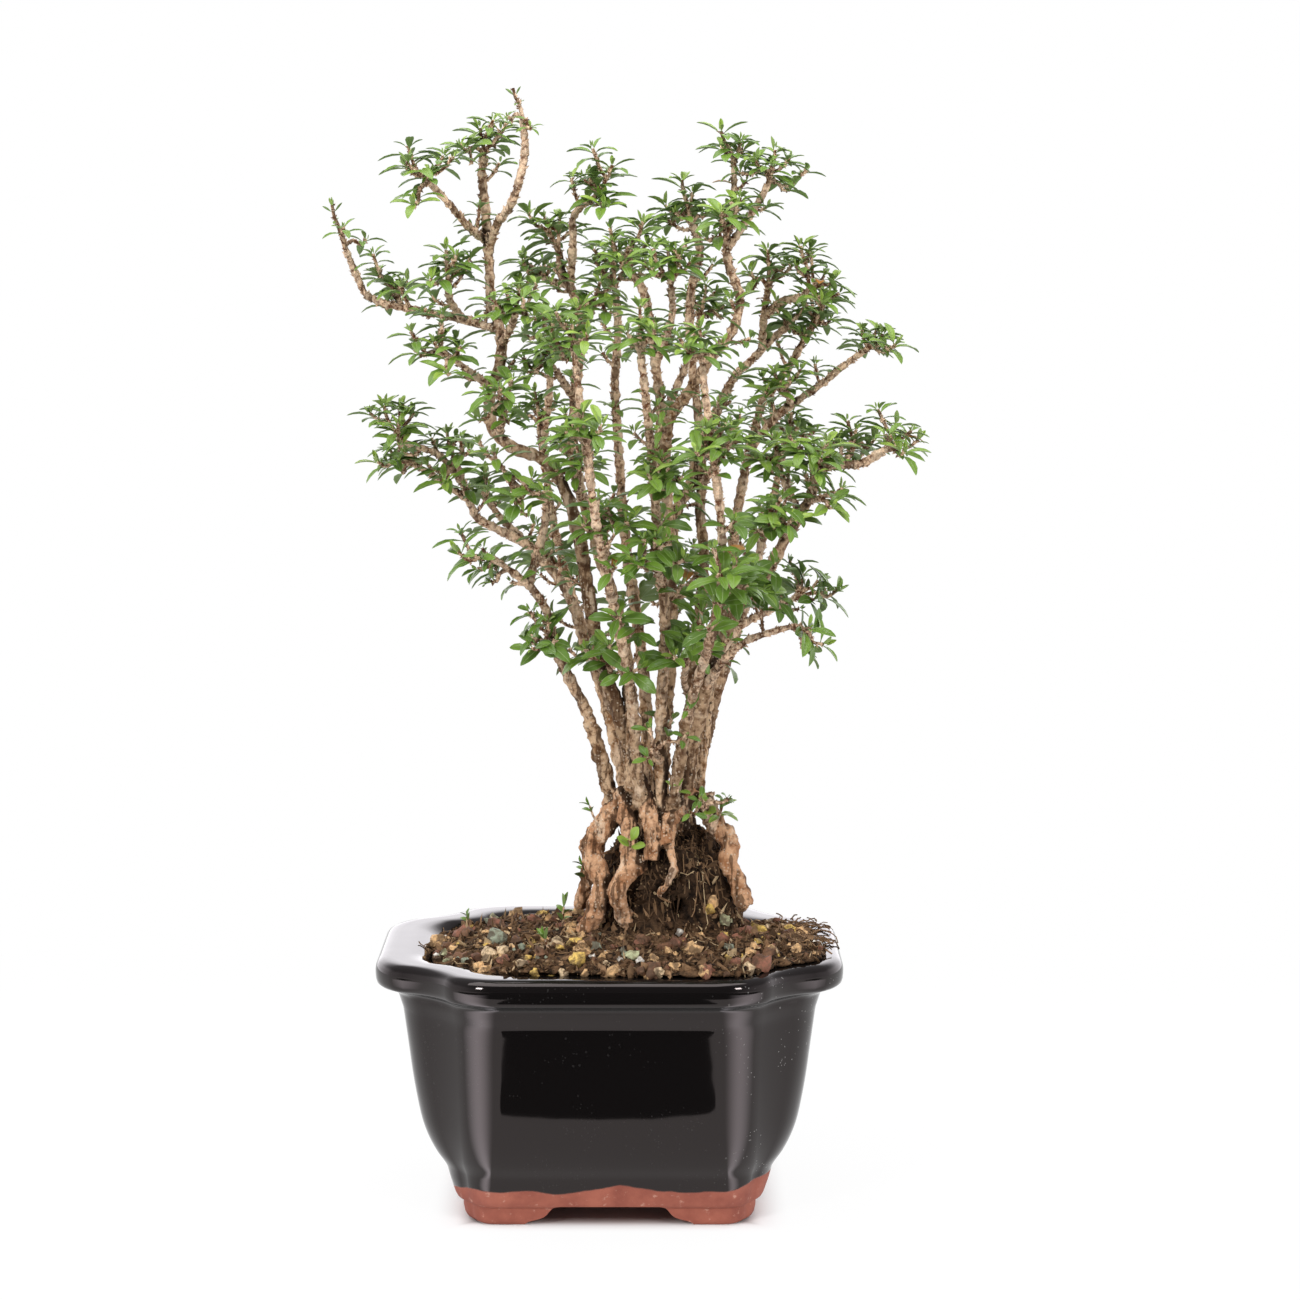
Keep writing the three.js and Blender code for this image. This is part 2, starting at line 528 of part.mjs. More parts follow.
function makePot() {
  const shell = skin([...FOOT_TO_RIM, ...RIM_TO_FLOOR].map(([z, share]) => planAt(z, share)));
  return [
    skin(UNDER_RECESS.map(([z, share]) => scaledPlan(z, share))),
    footGap(FOOT_GAP_FRONT, false),
    footGap(FOOT_GAP_SIDE, true),
    drainHole(-DRAIN_HOLE.offset),
    drainHole(DRAIN_HOLE.offset),
  ].reduce((pot, cut) => pot.subtract(cut), shell);
}

// ---------------------------------------------------------------- limbs
// A tapered round limb along a line of points, with knots and hollows, grown by a margin.
function limb(points, startRadius, endRadius, sides, margin = 0) {
  const line = points.map((p) => p.clone());
  const heading = line.map((p, i) => line[Math.min(i + 1, line.length - 1)].clone()
    .sub(line[Math.max(i - 1, 0)]).normalize());
  line[0].addScaledVector(heading[0], -margin);
  line.at(-1).addScaledVector(heading.at(-1), margin);
  const lengths = line.map((p, i) => (i === 0 ? 0 : p.distanceTo(line[i - 1])));
  const total = lengths.reduce((a, b) => a + b, 0);
  let across = new THREE.Vector3(1, 0, 0).cross(heading[0]).normalize();
  let run = 0;
  return skin(line.map((p, i) => {
    run += lengths[i];
    across = across.clone().addScaledVector(heading[i], -across.dot(heading[i])).normalize();
    const side = new THREE.Vector3().crossVectors(heading[i], across);
    const knot = points[i].clone().multiplyScalar(BARK.pitch);
    const swell = 1 + BARK.rise * relief(knot.x, knot.y, knot.z);
    const radius = (startRadius + (endRadius - startRadius) * (run / total)) * swell + margin;
    return Array.from({ length: sides }, (_, k) => p.clone()
      .addScaledVector(across, radius * Math.cos(k * TAU / sides))
      .addScaledVector(side, radius * Math.sin(k * TAU / sides)));
  }));
}

// The nearest point to p on the middle lines of the limbs drawn so far.
function nearestOn(lines, p) {
  let best = p;
  let distance = Infinity;
  for (const line of lines) {
    for (let i = 1; i < line.length; i += 1) {
      const foot = new THREE.Line3(line[i - 1], line[i]).closestPointToPoint(p, true, new THREE.Vector3());
      if (foot.distanceTo(p) < distance) {
        distance = foot.distanceTo(p);
        best = foot;
      }
    }
  }
  return best;
}

// A lumpy upright body from rings of height, half width and half depth.
const LUMP = { around: 9, upward: 3 }; // how fast its relief changes round it and per ring
function lump({ x, y, sides, roughness, rings }, margin = 0) {
  const ends = rings.map((ring, level) => (level === 0 ? -1 : Number(level === rings.length - 1)));
  return skin(rings.map(([z, halfWidth, halfDepth], level) => Array.from({ length: sides }, (_, i) => {
    const angle = (i + (level % 2) / 2) * TAU / sides;
    const swell = 1 + roughness * relief(
      Math.cos(angle) * LUMP.around + level * LUMP.upward, Math.sin(angle) * LUMP.around, z);
    return new THREE.Vector3(x + (halfWidth * swell + margin) * Math.cos(angle),
      y + (halfDepth * swell + margin) * Math.sin(angle), z + margin * ends[level]);
  })));
}

// A thin branch starts on the middle line of the limb that it grows from.
const rootLines = ROOTS.map(([, , , path]) => path.map(real));
const stemLines = [];
for (const [, thickness, , path] of STEMS) {
  const line = thinned(path.map(real));
  if (thickness < THICK) {
    line[0] = nearestOn([...stemLines, ...rootLines], line[0]);
  }
  stemLines.push(line);
}

// Roots, crown, stems and branches as one solid, each part grown by the margin.
function makeWood(margin) {
  const grow = (lines) => ([, start, end], i) => limb(
    lines[i], start / 2, end / 2, start > THICK || lines === rootLines ? SIDES.thick : SIDES.thin, margin);
  const limbs = [...ROOTS.map(grow(rootLines)), ...STEMS.map(grow(stemLines))];
  return wasm.Manifold.union([lump(CROWN, margin), ...limbs]);
}

// ---------------------------------------------------------------- soil
// How far the soil spills over the rim in a direction: 0 at the back left, 1 at the front right.
function spill(p) {
  const angle = Math.atan2(p.y / POT.halfDepth, p.x / POT.halfWidth);
  return THREE.MathUtils.smoothstep(Math.cos(angle - SOIL.spillTowards), SOIL.spillFrom, SOIL.spillFull);
}

function pebble(at, size, turn) {
  const axes = PEBBLES.flatness.map((share) => share * size);
  const stone = new THREE.OctahedronGeometry(1, 0).scale(...axes).rotateZ(turn);
  const corners = stone.getAttribute('position');
  const points = [];
  const triangles = [];
  for (let i = 0; i < corners.count; i += 1) {
    const corner = new THREE.Vector3().fromBufferAttribute(corners, i).add(at);
    let index = points.findIndex((p) => p.distanceTo(corner) < 1e-4);
    if (index < 0) {
      index = points.push(corner) - 1;
    }
    triangles.push(index);
  }
  const faces = Array.from({ length: triangles.length / 3 }, (_, i) => triangles.slice(3 * i, 3 * i + 3));
  return solid(points, faces);
}

// Height of the heap at a point, from how far inwards it lies (0 at its edge, 1 at its middle).
function heapHeight(x, y, inward, flow) {
  return SOIL.edge + SOIL.spillRise * flow * (1 - inward) + SOIL.heapRise * (1 - (1 - inward) ** 2)
    + SOIL.grain * relief(x, y);
}

function heapRing(inward) {
  return PLAN.map((p) => {
    const flow = spill(p);
    const share = (SOIL.edgeShare + SOIL.spillShare * flow) * (1 - inward);
    return new THREE.Vector3(p.x * share, p.y * share, heapHeight(p.x * share, p.y * share, inward, flow));
  });
}

// The inside of the pot and the room over its rim, a clearance away from it on every face.
function potRoom() {
  const inset = CLEARANCE / POT.sideHalfLength;
  const brim = RIM_TOP + CLEARANCE;
  return skin([
    ...RIM_TO_FLOOR.slice(1).reverse().map(([z, share]) => planAt(z + CLEARANCE, share - inset)),
    planAt(brim, OVER_RIM.innerShare),
    planAt(brim, OVER_RIM.outerShare),
    planAt(OVER_RIM.top, OVER_RIM.outerShare),
  ]);
}

function makePebbles() {
  const random = dice(PEBBLES.seed);
  return Array.from({ length: PEBBLES.count }, () => {
    const p = PLAN[Math.floor(random() * PLAN.length)];
    const inward = PEBBLES.outermost + PEBBLES.spread * random();
    const share = SOIL.edgeShare * (1 - inward);
    const size = THREE.MathUtils.lerp(PEBBLES.smallest, PEBBLES.largest, random() ** 2);
    const [x, y] = [p.x, p.y].map((side) => side * share + PEBBLES.scatter * random());
    const at = new THREE.Vector3(x, y, heapHeight(x, y, inward, spill(p)));
    return pebble(at, size, random() * TAU);
  });
}

// A hollow between two roots, with the outline of an upright egg.
function cave({ at: [x, y, z], size: [halfWidth, halfDepth, halfHeight] }) {
  const rings = CAVE.levels.map((level) => {
    const girth = Math.sqrt(CAVE.bluntness - level * level);
    return [z + level * halfHeight, halfWidth * girth, halfDepth * girth];
  });
  return lump({ ...CAVE, x, y, rings });
}

// The heap in the pot with its mound and pebbles, hollowed by the caves and by the grown wood.
function makeSoil(grownWood) {
  const skirt = heapRing(0).map((p) => p.clone().setZ(SOIL.floor));
  const middle = [new THREE.Vector3(0, 0, heapHeight(0, 0, 1, 0))];
  const heap = skin([skirt, ...SOIL.levels.map(heapRing), middle]);
  const ground = wasm.Manifold.union([heap.intersect(potRoom()), lump(MOUND), ...makePebbles()]);
  return mainBody([...CAVES.map(cave), grownWood].reduce((soil, cut) => soil.subtract(cut), ground));
}

// ---------------------------------------------------------------- leafy sprays
// A leaf is an arched blade with a keel under its midrib: the length and the share of the full
// width at each of its stations. It grows out of a face of its twig and ends in a point.
const BLADE_STATIONS = [[0.38, 0.95], [0.72, 0.78]];

function bladeRings({ root, out, top, length, width, bend }) {
  const side = new THREE.Vector3().crossVectors(out, top).normalize();
  const along = (t) => root.clone()
    .addScaledVector(out, length * t * Math.cos(bend * t / 2))
    .addScaledVector(top, -length * t * Math.sin(bend * t / 2));
  const rise = LEAF.keel * LEAF.keelAbove;
  const sections = BLADE_STATIONS.map(([t, share]) => {
    const up = top.clone().multiplyScalar(Math.cos(bend * t)).addScaledVector(out, Math.sin(bend * t));
    const half = width * share / 2;
    return [
      along(t).addScaledVector(side, half).addScaledVector(up, rise),
      along(t).addScaledVector(side, -half).addScaledVector(up, rise),
      along(t).addScaledVector(up, rise - LEAF.keel),
    ];
  });
  return [...sections, [along(1)]];
}

// Whether two boxes come nearer to each other than a margin.
function near(a, b, margin) {
  return [0, 1, 2].every((k) => a.min[k] - margin < b.max[k] && b.min[k] - margin < a.max[k]);
}

// Solids already in place, with the number of the spray each belongs to (-1 for wood and soil).
const placed = [];
function isClear(body, spray, margin, ownMargin) {
  const box = body.boundingBox();
  return placed.every((other) => {
    const wanted = other.spray === spray ? ownMargin : margin;
    if (wanted === null || !near(box, other.box, margin)) {
      return true;
    }
    return body.minGap(other.body, margin + 0.1) >= wanted;
  });
}
function keep(body, spray) {
  placed.push({ body, spray, box: body.boundingBox() });
}

// A spray is one skin that grows: a twig is drawn out ring by ring, and any face between two
// rings can be drawn out in turn, as a leaf or as a side twig.
class Spray {
  constructor(index, leafShare = 1) {
    this.index = index;
    this.leafShare = leafShare;
    this.points = [];
    this.triangles = [];
  }

  add(points) {
    return points.map((p) => this.points.push(p) - 1);
  }

  quad([a, b, c, d]) {
    this.triangles.push([a, b, c], [a, c, d]);
  }

  // Four points round the middle of a twig, in step with the corners of the ring before it.
  ring(before, middle, ahead, radius) {
    const centre = before.reduce((sum, n) => sum.add(this.points[n]), new THREE.Vector3()).divideScalar(4);
    return this.add(before.map((n) => {
      const offset = this.points[n].clone().sub(centre);
      return offset.addScaledVector(ahead, -offset.dot(ahead)).setLength(radius).add(middle);
    }));
  }

  // A twig drawn out from a ring of four points along a line. `grow` is asked about each face.
  twig(from, line, grow) {
    let ring = from;
    line.forEach(({ at, ahead, radius }, band) => {
      const next = this.ring(ring, at, ahead, radius);
      for (let i = 0; i < 4; i += 1) {
        const j = (i + 1) % 4;
        const face = [ring[i], ring[j], next[j], next[i]];
        if (!grow(face, band, i)) {
          this.quad(face);
        }
      }
      ring = next;
    });
    this.quad(ring);
  }

  // A blade drawn out from a face: its keel grows from the face's lower edge.
  leaf([a, b, c, d], rings) {
    const [left, right, keel] = this.add(rings[0]);
    this.add(rings.slice(1).flat());
    this.triangles.push([a, b, keel], [b, right, keel], [b, c, right], [c, d, left], [c, left, right],
      [d, a, left], [a, keel, left]);
    const around = [[keel, right], [right, left], [left, keel]];
    const last = 3 * (rings.length - 2);
    for (let step = 0; step < last; step += 3) {
      for (const [p, q] of around) {
        this.triangles.push([p + step, q + step, q + step + 3], [p + step, q + step + 3, p + step + 3]);
      }
    }
    for (const [p, q] of around) {
      this.triangles.push([p + last, q + last, this.points.length - 1]);
    }
  }

  solid() {
    return solid(this.points, this.triangles);
  }
}

// Points, directions and radii of a twig from a start to its tip, with one short band at the end
// for each level of leaves.
function twigLine(start, heading, tip, forks, levels) {
  const reach = start.distanceTo(tip);
  const middle = start.clone().lerp(tip, TWIG.elbow).addScaledVector(heading, reach * TWIG.bow);
  const end = tip.clone().sub(middle).normalize();
  const stops = forks.map((run) => start.clone().addScaledVector(heading, run));
  stops.push(middle);
  for (let k = levels; k >= 0; k -= 1) {
    stops.push(tip.clone().addScaledVector(end, -k * TWIG.leafLevel));
  }
  return stops.map((at, i) => ({
    at,
    ahead: i < forks.length ? heading : end,
    radius: THREE.MathUtils.lerp(TWIG.base, TWIG.tip, (i + 1) / stops.length) / 2,
  }));
}

// The direction a face of four points looks in.
function faceNormal(spray, [a, b, c, d]) {
  const between = (from, to) => spray.points[to].clone().sub(spray.points[from]);
  return between(a, c).cross(between(b, d)).normalize();
}

// A spray goes on from the end of its branch. A twig that would touch something is swung round
// the branch's heading until it is clear, and left out if nothing helps.
function settleSpray([name, , , , tips], index) {
  const stem = stemLines[index];
  const heading = stem.at(-1).clone().sub(stem.at(-2)).normalize();
  const start = stem.at(-1).clone().addScaledVector(heading, CLEARANCE);
  const settled = [];
  for (const tip of tips) {
    const main = settled.length === 0;
    const from = start.clone().addScaledVector(heading, main ? 0 : TWIG.forks[settled.length - 1]);
    for (const swing of TIP_SWINGS) {
      const end = real(tip).sub(start).applyAxisAngle(heading, swing).add(start);
      const ahead = main ? heading : end.clone().sub(from).normalize();
      const line = [from, ...twigLine(from, ahead, end, main ? TWIG.forks : [], 0).map(({ at }) => at)];
      const twig = limb(line, TWIG.base / 2, TWIG.tip / 2, 4);
      if (isClear(twig, index, main ? ROOM.twig : ROOM.sideTwig, null)) {
        keep(twig, index);
        settled.push(end);
        break;
      }
    }
  }
  return { name, index, start, heading, tips: settled };
}

// The main twig carries two crossed pairs of leaves, and each side twig three leaves.
function makeSpray({ name, index, start, heading, tips: [mainTip, ...sideTips] }) {
  const spray = new Spray(index, BARE_SPIKES.includes(name) ? LEAF.spikeShare : 1);
  const across = new THREE.Vector3(0.3, 1, 0.2).cross(heading).setLength(TWIG.base / 2);
  const corner = (k) => across.clone().applyAxisAngle(heading, k * TAU / 4).add(start);
  const foot = spray.add([0, 1, 2, 3].map(corner));
  spray.quad([...foot].reverse());
  const stops = twigLine(start, heading, mainTip, TWIG.forks, 2);
  const waiting = sideTips.map((tip) => ({ tip, fit: -Infinity }));
  const dry = new Spray(index); // a bare copy, to find the face that looks most towards each side tip
  dry.twig(dry.add(foot.map((n) => spray.points[n].clone())), stops, (face, band, i) => {
    const side = waiting[band];
    const fit = side ? faceNormal(dry, face).dot(side.tip.clone().sub(start).normalize()) : 0;
    if (side && fit > side.fit) {
      Object.assign(side, { fit, i });
    }
    return false;
  });
  const leaves = dice(LEAF.seed + index * LEAF.seedStep);
  spray.twig(foot, stops, (face, band, i) => {
    if (waiting[band]?.i === i) {
      const from = spray.points[face[0]].clone().lerp(spray.points[face[2]], 0.5);
      const towards = waiting[band].tip.clone().sub(from).normalize();
      const branch = twigLine(from, towards, waiting[band].tip, [], 1).slice(1);
      spray.twig(face, branch, (sideFace, sideBand, k) => sideBand === 1 && k < 3
        && growLeaf(spray, sideFace, branch.at(-1), false, leaves));
      return true;
    }
    const level = band - (stops.length - 2);
    return level >= 0 && i % 2 === level % 2 && growLeaf(spray, face, stops.at(-1), level === 0, leaves);
  });
  return spray.solid();
}

// Draws a leaf out of a face of its twig, if there is room for one.
function growLeaf(spray, face, { at, ahead }, lower, random) {
  const corners = face.map((n) => spray.points[n]);
  const rings = clearLeaf(spray, ahead, corners, at.z < LEAF.lowBelow, lower, random);
  if (rings) {
    spray.leaf(face, rings);
  }
  return rings !== null;
}

// The rings of a leaf that stands on a face of its twig, clear of everything placed before it.
function clearLeaf({ index, leafShare }, end, face, low, lower, random) {
  const root = face.reduce((sum, p) => sum.add(p), new THREE.Vector3()).divideScalar(4);
  const normal = new THREE.Vector3().crossVectors(face[1].clone().sub(face[0]), end).normalize();
  const vary = (spread) => 1 + spread * (random() - 0.5);
  const length = (low ? LEAF.lowLength : LEAF.length) * vary(LEAF.lengthSpread) * leafShare;
  const width = (low ? LEAF.lowWidth : LEAF.width) * vary(LEAF.widthSpread) * leafShare;
  const lean = (lower ? LEAF.lowerLean : LEAF.upperLean) + LEAF.leanSpread * random();
  for (const [spin, tilt] of LEAF_TRIES) {
    const outward = normal.clone().applyAxisAngle(end, spin);
    const pitch = lean + tilt;
    const out = end.clone().multiplyScalar(Math.cos(pitch)).addScaledVector(outward, Math.sin(pitch));
    const top = end.clone().multiplyScalar(Math.sin(pitch)).addScaledVector(outward, -Math.cos(pitch));
    const rings = bladeRings({ root, out, top, length, width, bend: LEAF.bend });
    const stalk = root.clone().addScaledVector(out, length * LEAF.stalk);
    const free = skin([[stalk], ...rings]);
    if (isClear(free, index, ROOM.leaf, ROOM.leafInSpray)) {
      keep(skin([[root], ...rings]), index);
      return rings;
    }
  }
  return null;
}

// ---------------------------------------------------------------- the whole plant
const group = new THREE.Group();
const origin = new THREE.Vector3();
const wood = makeWood(0);
const grownWood = makeWood(CLEARANCE);
const soil = makeSoil(grownWood);
group.add(piece('pot', makePot(), FINISH.pot, origin));
group.add(piece('soil', soil, FINISH.soil, origin));
group.add(piece('wood', wood, FINISH.wood, origin));
keep(wood, -1);
keep(soil, -1);

const sprays = STEMS.map(settleSpray).filter(({ tips }) => tips.length > 0);
for (const spray of sprays) {
  group.add(piece(`spray_${spray.name}`, makeSpray(spray), FINISH.leaf, spray.start));
}

// The origin is on the ground, under the middle of the whole plant's box.
const box = new THREE.Box3().setFromObject(group);
const centre = box.getCenter(new THREE.Vector3());
group.position.set(-centre.x, -centre.y, -box.min.z);

export default group;
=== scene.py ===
# %% [markdown]
# # A serissa bonsai in its glazed pot
# A plain solid model of a small potted tree is already packed. This lesson dresses it: it keeps
# the model's places and sizes, and replaces its plain pieces by fine ones with their own finishes.
# Everything is measured in millimetres from the middle of the pot's foot, and moved into the
# model's own frame, which is in metres, when a mesh is made.

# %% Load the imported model
import json
import math
import random

import bmesh
import bpy
from mathutils import Matrix, Vector, geometry, noise
from mathutils.bvhtree import BVHTree
from mathutils.kdtree import KDTree

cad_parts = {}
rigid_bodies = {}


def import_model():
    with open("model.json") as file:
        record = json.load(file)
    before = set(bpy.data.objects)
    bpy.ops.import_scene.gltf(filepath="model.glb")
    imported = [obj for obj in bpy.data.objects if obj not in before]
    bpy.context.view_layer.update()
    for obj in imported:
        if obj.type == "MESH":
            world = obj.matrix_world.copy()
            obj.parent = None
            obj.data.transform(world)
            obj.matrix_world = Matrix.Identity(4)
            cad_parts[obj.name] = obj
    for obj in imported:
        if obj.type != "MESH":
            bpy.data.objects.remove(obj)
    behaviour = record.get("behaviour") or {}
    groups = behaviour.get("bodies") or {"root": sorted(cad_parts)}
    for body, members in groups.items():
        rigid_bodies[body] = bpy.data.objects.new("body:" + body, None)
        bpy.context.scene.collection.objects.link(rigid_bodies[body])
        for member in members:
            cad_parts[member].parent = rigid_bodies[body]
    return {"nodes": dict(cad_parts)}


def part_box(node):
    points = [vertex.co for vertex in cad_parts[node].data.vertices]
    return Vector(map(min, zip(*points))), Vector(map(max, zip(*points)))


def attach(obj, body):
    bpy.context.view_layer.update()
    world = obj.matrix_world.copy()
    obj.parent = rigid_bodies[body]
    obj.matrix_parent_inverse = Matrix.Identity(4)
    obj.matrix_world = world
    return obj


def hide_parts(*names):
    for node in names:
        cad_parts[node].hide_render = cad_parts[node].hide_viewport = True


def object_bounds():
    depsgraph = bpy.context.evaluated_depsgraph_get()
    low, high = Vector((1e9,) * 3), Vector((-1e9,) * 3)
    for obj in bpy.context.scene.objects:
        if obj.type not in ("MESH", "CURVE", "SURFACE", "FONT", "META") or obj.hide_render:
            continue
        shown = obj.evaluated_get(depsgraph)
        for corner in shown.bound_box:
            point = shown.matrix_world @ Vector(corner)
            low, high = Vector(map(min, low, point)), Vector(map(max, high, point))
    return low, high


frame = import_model()
cad_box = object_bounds()
print("box of the plain model, m:",
      [tuple(round(side, 4) for side in corner) for corner in cad_box])

# %% Millimetres in the model's frame
MM = 0.001
TAU = 2 * math.pi
UP = Vector((0, 0, 1))
pot_low, pot_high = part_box("pot")
POT_MIDDLE = Vector(((pot_low.x + pot_high.x) / 2, (pot_low.y + pot_high.y) / 2, 0))
HALF_WIDTH, HALF_DEPTH = 75, 61  # of the pot over its rim


def in_frame(place):
    """A place in mm from the middle of the pot's foot, in metres in the model's frame."""
    return POT_MIDDLE + place * MM


def from_frame(place):
    """A place in the model's frame, in mm from the middle of the pot's foot."""
    return (place - POT_MIDDLE) / MM


def new_object(name, data):
    """A new object in the scene that shows a mesh or holds a lens or a lamp."""
    made = bpy.data.objects.new(name, data)
    bpy.context.collection.objects.link(made)
    return made


print("middle of the pot, m:", tuple(round(side, 5) for side in POT_MIDDLE))


# %% Values within bounds
def clamp(value, low=0, high=1):
    """A value kept between two bounds."""
    return min(max(value, low), high)


def ease(value, low, high):
    """A smooth way from 0 at low to 1 at high."""
    t = clamp((value - low) / (high - low))
    return t * t * (3 - 2 * t)


print("halfway between two bounds:", ease(0.5, 0, 1))

# %% [markdown]
# ## The eye and the drawn view
# The tree was drawn on one front view, in perspective. A drawn point has its place across and down
# a square sheet, in sheet steps, and its depth in mm behind the pot's middle. The camera stands at
# the same eye, so that every drawn point appears where it was drawn.

# %% Camera
EYE = Vector((13, -1100, 320))
DOWN_TILT = 0.1266
SHEET_MIDDLE = 650
STEPS_PER_RADIAN = 3424.5
SENSOR = 36

lens = bpy.data.cameras.new("eye")
lens.sensor_width = SENSOR
lens.lens = SENSOR * STEPS_PER_RADIAN / (2 * SHEET_MIDDLE)
lens.clip_start = 0.05
lens.clip_end = 50
camera = new_object("eye", lens)
camera.location = in_frame(EYE)
camera.rotation_euler = (math.pi / 2 - DOWN_TILT, 0, 0)
bpy.context.scene.camera = camera
print("lens, mm:", round(lens.lens, 2))


# %% From a drawn point to a place in mm
def drawn(across, down, depth):
    """The place of a drawn point, in mm."""
    away = depth - EYE.y
    rise = (SHEET_MIDDLE - down) / STEPS_PER_RADIAN
    level, dip = math.cos(DOWN_TILT), math.sin(DOWN_TILT)
    drop = away * (rise * level - dip) / (level + rise * dip)
    reach = away * level - drop * dip
    return Vector((EYE.x + reach * (across - SHEET_MIDDLE) / STEPS_PER_RADIAN, depth, EYE.z + drop))


print("middle of the sheet lies at", tuple(round(side, 1) for side in drawn(650, 650, 0)))

# %% [markdown]
# ## Small tools for meshes
# Stems, roots, fibres and the pot are all skins over rings. A smooth curve through a few knots
# gives the places of the rings, so each form keeps only the handful of points that define it.


# %% Curves through knots
def smooth_line(knots, step):
    """Places a step apart along a smooth curve through the knots."""
    if len(knots) < 2:
        return list(knots)
    ends = [2 * knots[0] - knots[1], *knots, 2 * knots[-1] - knots[-2]]
    line = []
    for before, here, there, after in zip(ends, ends[1:], ends[2:], ends[3:]):
        times = [0]
        for start, end in ((before, here), (here, there), (there, after)):
            times.append(times[-1] + math.sqrt(max((end - start).length, 1e-6)))
        t0, t1, t2, t3 = times
        pieces = max(1, round((there - here).length / step))
        for k in range(pieces):
            t = t1 + (t2 - t1) * k / pieces
            a = before.lerp(here, (t - t0) / (t1 - t0))
            b = here.lerp(there, (t - t1) / (t2 - t1))
            c = there.lerp(after, (t - t2) / (t3 - t2))
            ab = a.lerp(b, (t - t0) / (t2 - t0))
            bc = b.lerp(c, (t - t1) / (t3 - t1))
            line.append(ab.lerp(bc, (t - t1) / (t2 - t1)))
    line.append(knots[-1].copy())
    return line


def headings(line):
    """The direction in which a line runs at each of its places."""
    last = len(line) - 1
    return [(line[min(i + 1, last)] - line[max(i - 1, 0)]).normalized() for i in range(len(line))]


# %% Skins over rings
def skin(rings):
    """Points and faces of a skin over rings of equally many points, closed at both ends."""
    sides = len(rings[0])
    points = [point for ring in rings for point in ring]
    faces = []
    for start in range(0, len(points) - sides, sides):
        for i in range(sides):
            j = (i + 1) % sides
            faces.append((start + i, start + j, start + sides + j, start + sides + i))
    faces.append(tuple(reversed(range(sides))))
    faces.append(tuple(range(len(points) - sides, len(points))))
    return points, faces


def tube_rings(line, radius_at, sides):
    """Rings round a line. radius_at(number, place, direction) gives the radius."""
    ahead = headings(line)
    across = ahead[0].orthogonal().normalized()
    rings = []
    for i, place in enumerate(line):
        across = (across - ahead[i] * across.dot(ahead[i])).normalized()
        side = ahead[i].cross(across)
        ring = []
        for k in range(sides):
            turn = TAU * k / sides
            outward = across * math.cos(turn) + side * math.sin(turn)
            ring.append(place + outward * radius_at(i, place, outward))
        rings.append(ring)
    return rings


# %% Bodies gathered into one mesh
def keep(mesh, label, values, kind="FLOAT", field="value"):
    """Keeps a value at each point of a mesh, under a name."""
    mesh.attributes.new(label, kind, "POINT").data.foreach_set(field, values)


class Gathered:
    """Points and faces of several skins that become one mesh, with numbers kept at the points."""

    def __init__(self):
        self.points, self.faces, self.marks = [], [], {}

    def add(self, points, faces, **marks):
        start = len(self.points)
        self.points += points
        self.faces += [tuple(start + n for n in face) for face in faces]
        for label, mark in marks.items():
            marks_here = mark if isinstance(mark, list) else [mark] * len(points)
            self.marks.setdefault(label, []).extend(marks_here)

    def piece(self, name):
        mesh = bpy.data.meshes.new(name)
        mesh.from_pydata([in_frame(point) for point in self.points], [], self.faces)
        for label, marks in self.marks.items():
            keep(mesh, label, marks)
        return new_object(name, mesh)


# %% Facing, smoothness and finished meshes
def face_outwards(piece, sharp_degrees):
    """Turns every closed body of a mesh right side out, smooth but for its sharp edges."""
    shape = bmesh.new()
    shape.from_mesh(piece.data)
    bmesh.ops.recalc_face_normals(shape, faces=shape.faces)
    shape.to_mesh(piece.data)
    shape.free()
    piece.data.shade_smooth()
    piece.data.set_sharp_from_angle(angle=math.radians(sharp_degrees))


def freeze(piece):
    """Gives a piece the plain mesh that its modifiers make, and removes them."""
    view = bpy.context.evaluated_depsgraph_get()
    plain = bpy.data.meshes.new_from_object(
        piece.evaluated_get(view), preserve_all_data_layers=True, depsgraph=view)
    piece.modifiers.clear()
    piece.data = plain


def finish_piece(piece, material=None, stands_for=()):
    """Gives a piece its material and its place in the model."""
    if material:
        piece.data.materials.clear()
        piece.data.materials.append(material)
    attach(piece, "root")
    if stands_for:
        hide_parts(*stands_for)
    triangles = sum(len(face.vertices) - 2 for face in piece.data.polygons)
    print(f"{piece.name}: {triangles} triangles")


# %% [markdown]
# ## Studio
# The plant stands on a pale floor that melts into a white surround. The floor's material goes from
# dark paper under the pot, a painted shadow, through plain white to glowing white further out, by
# distance from the pot, so that no edge or horizon shows from any side. A wide soft light hangs
# above, and a smaller one stands in front on either side. A matt black card lies on the floor in
# front, seen only in reflections: the glaze leans outwards, so each face mirrors the floor before
# it, and the card gives it a dark field. A second card, further out, keeps the rim's front dark. Two
# glowing sheets that spread from the front corners of the pot are mirrored as soft upright bands
# beside that field.


# %% Sockets and nodes
def put(tree, socket, value):
    """Links a socket to another one, or gives it a value."""
    if isinstance(value, bpy.types.NodeSocket):
        tree.links.new(value, socket)
    else:
        socket.default_value = value


def node(tree, kind, settings=(), **inputs):
    """A new node with its settings, and with values or links for the inputs named."""
    made = tree.nodes.new(kind)
    for name, value in dict(settings).items():
        setattr(made, name, value)
    for name, value in inputs.items():
        put(tree, made.inputs[name.replace("_", " ")], value)
    return made


def mix_colours(tree, share, first, second):
    """The first colour, changed to the second by a share."""
    made = tree.nodes.new("ShaderNodeMix")
    made.data_type = "RGBA"
    put(tree, made.inputs[0], share)
    put(tree, made.inputs[6], first)
    put(tree, made.inputs[7], second)
    return made.outputs[2]


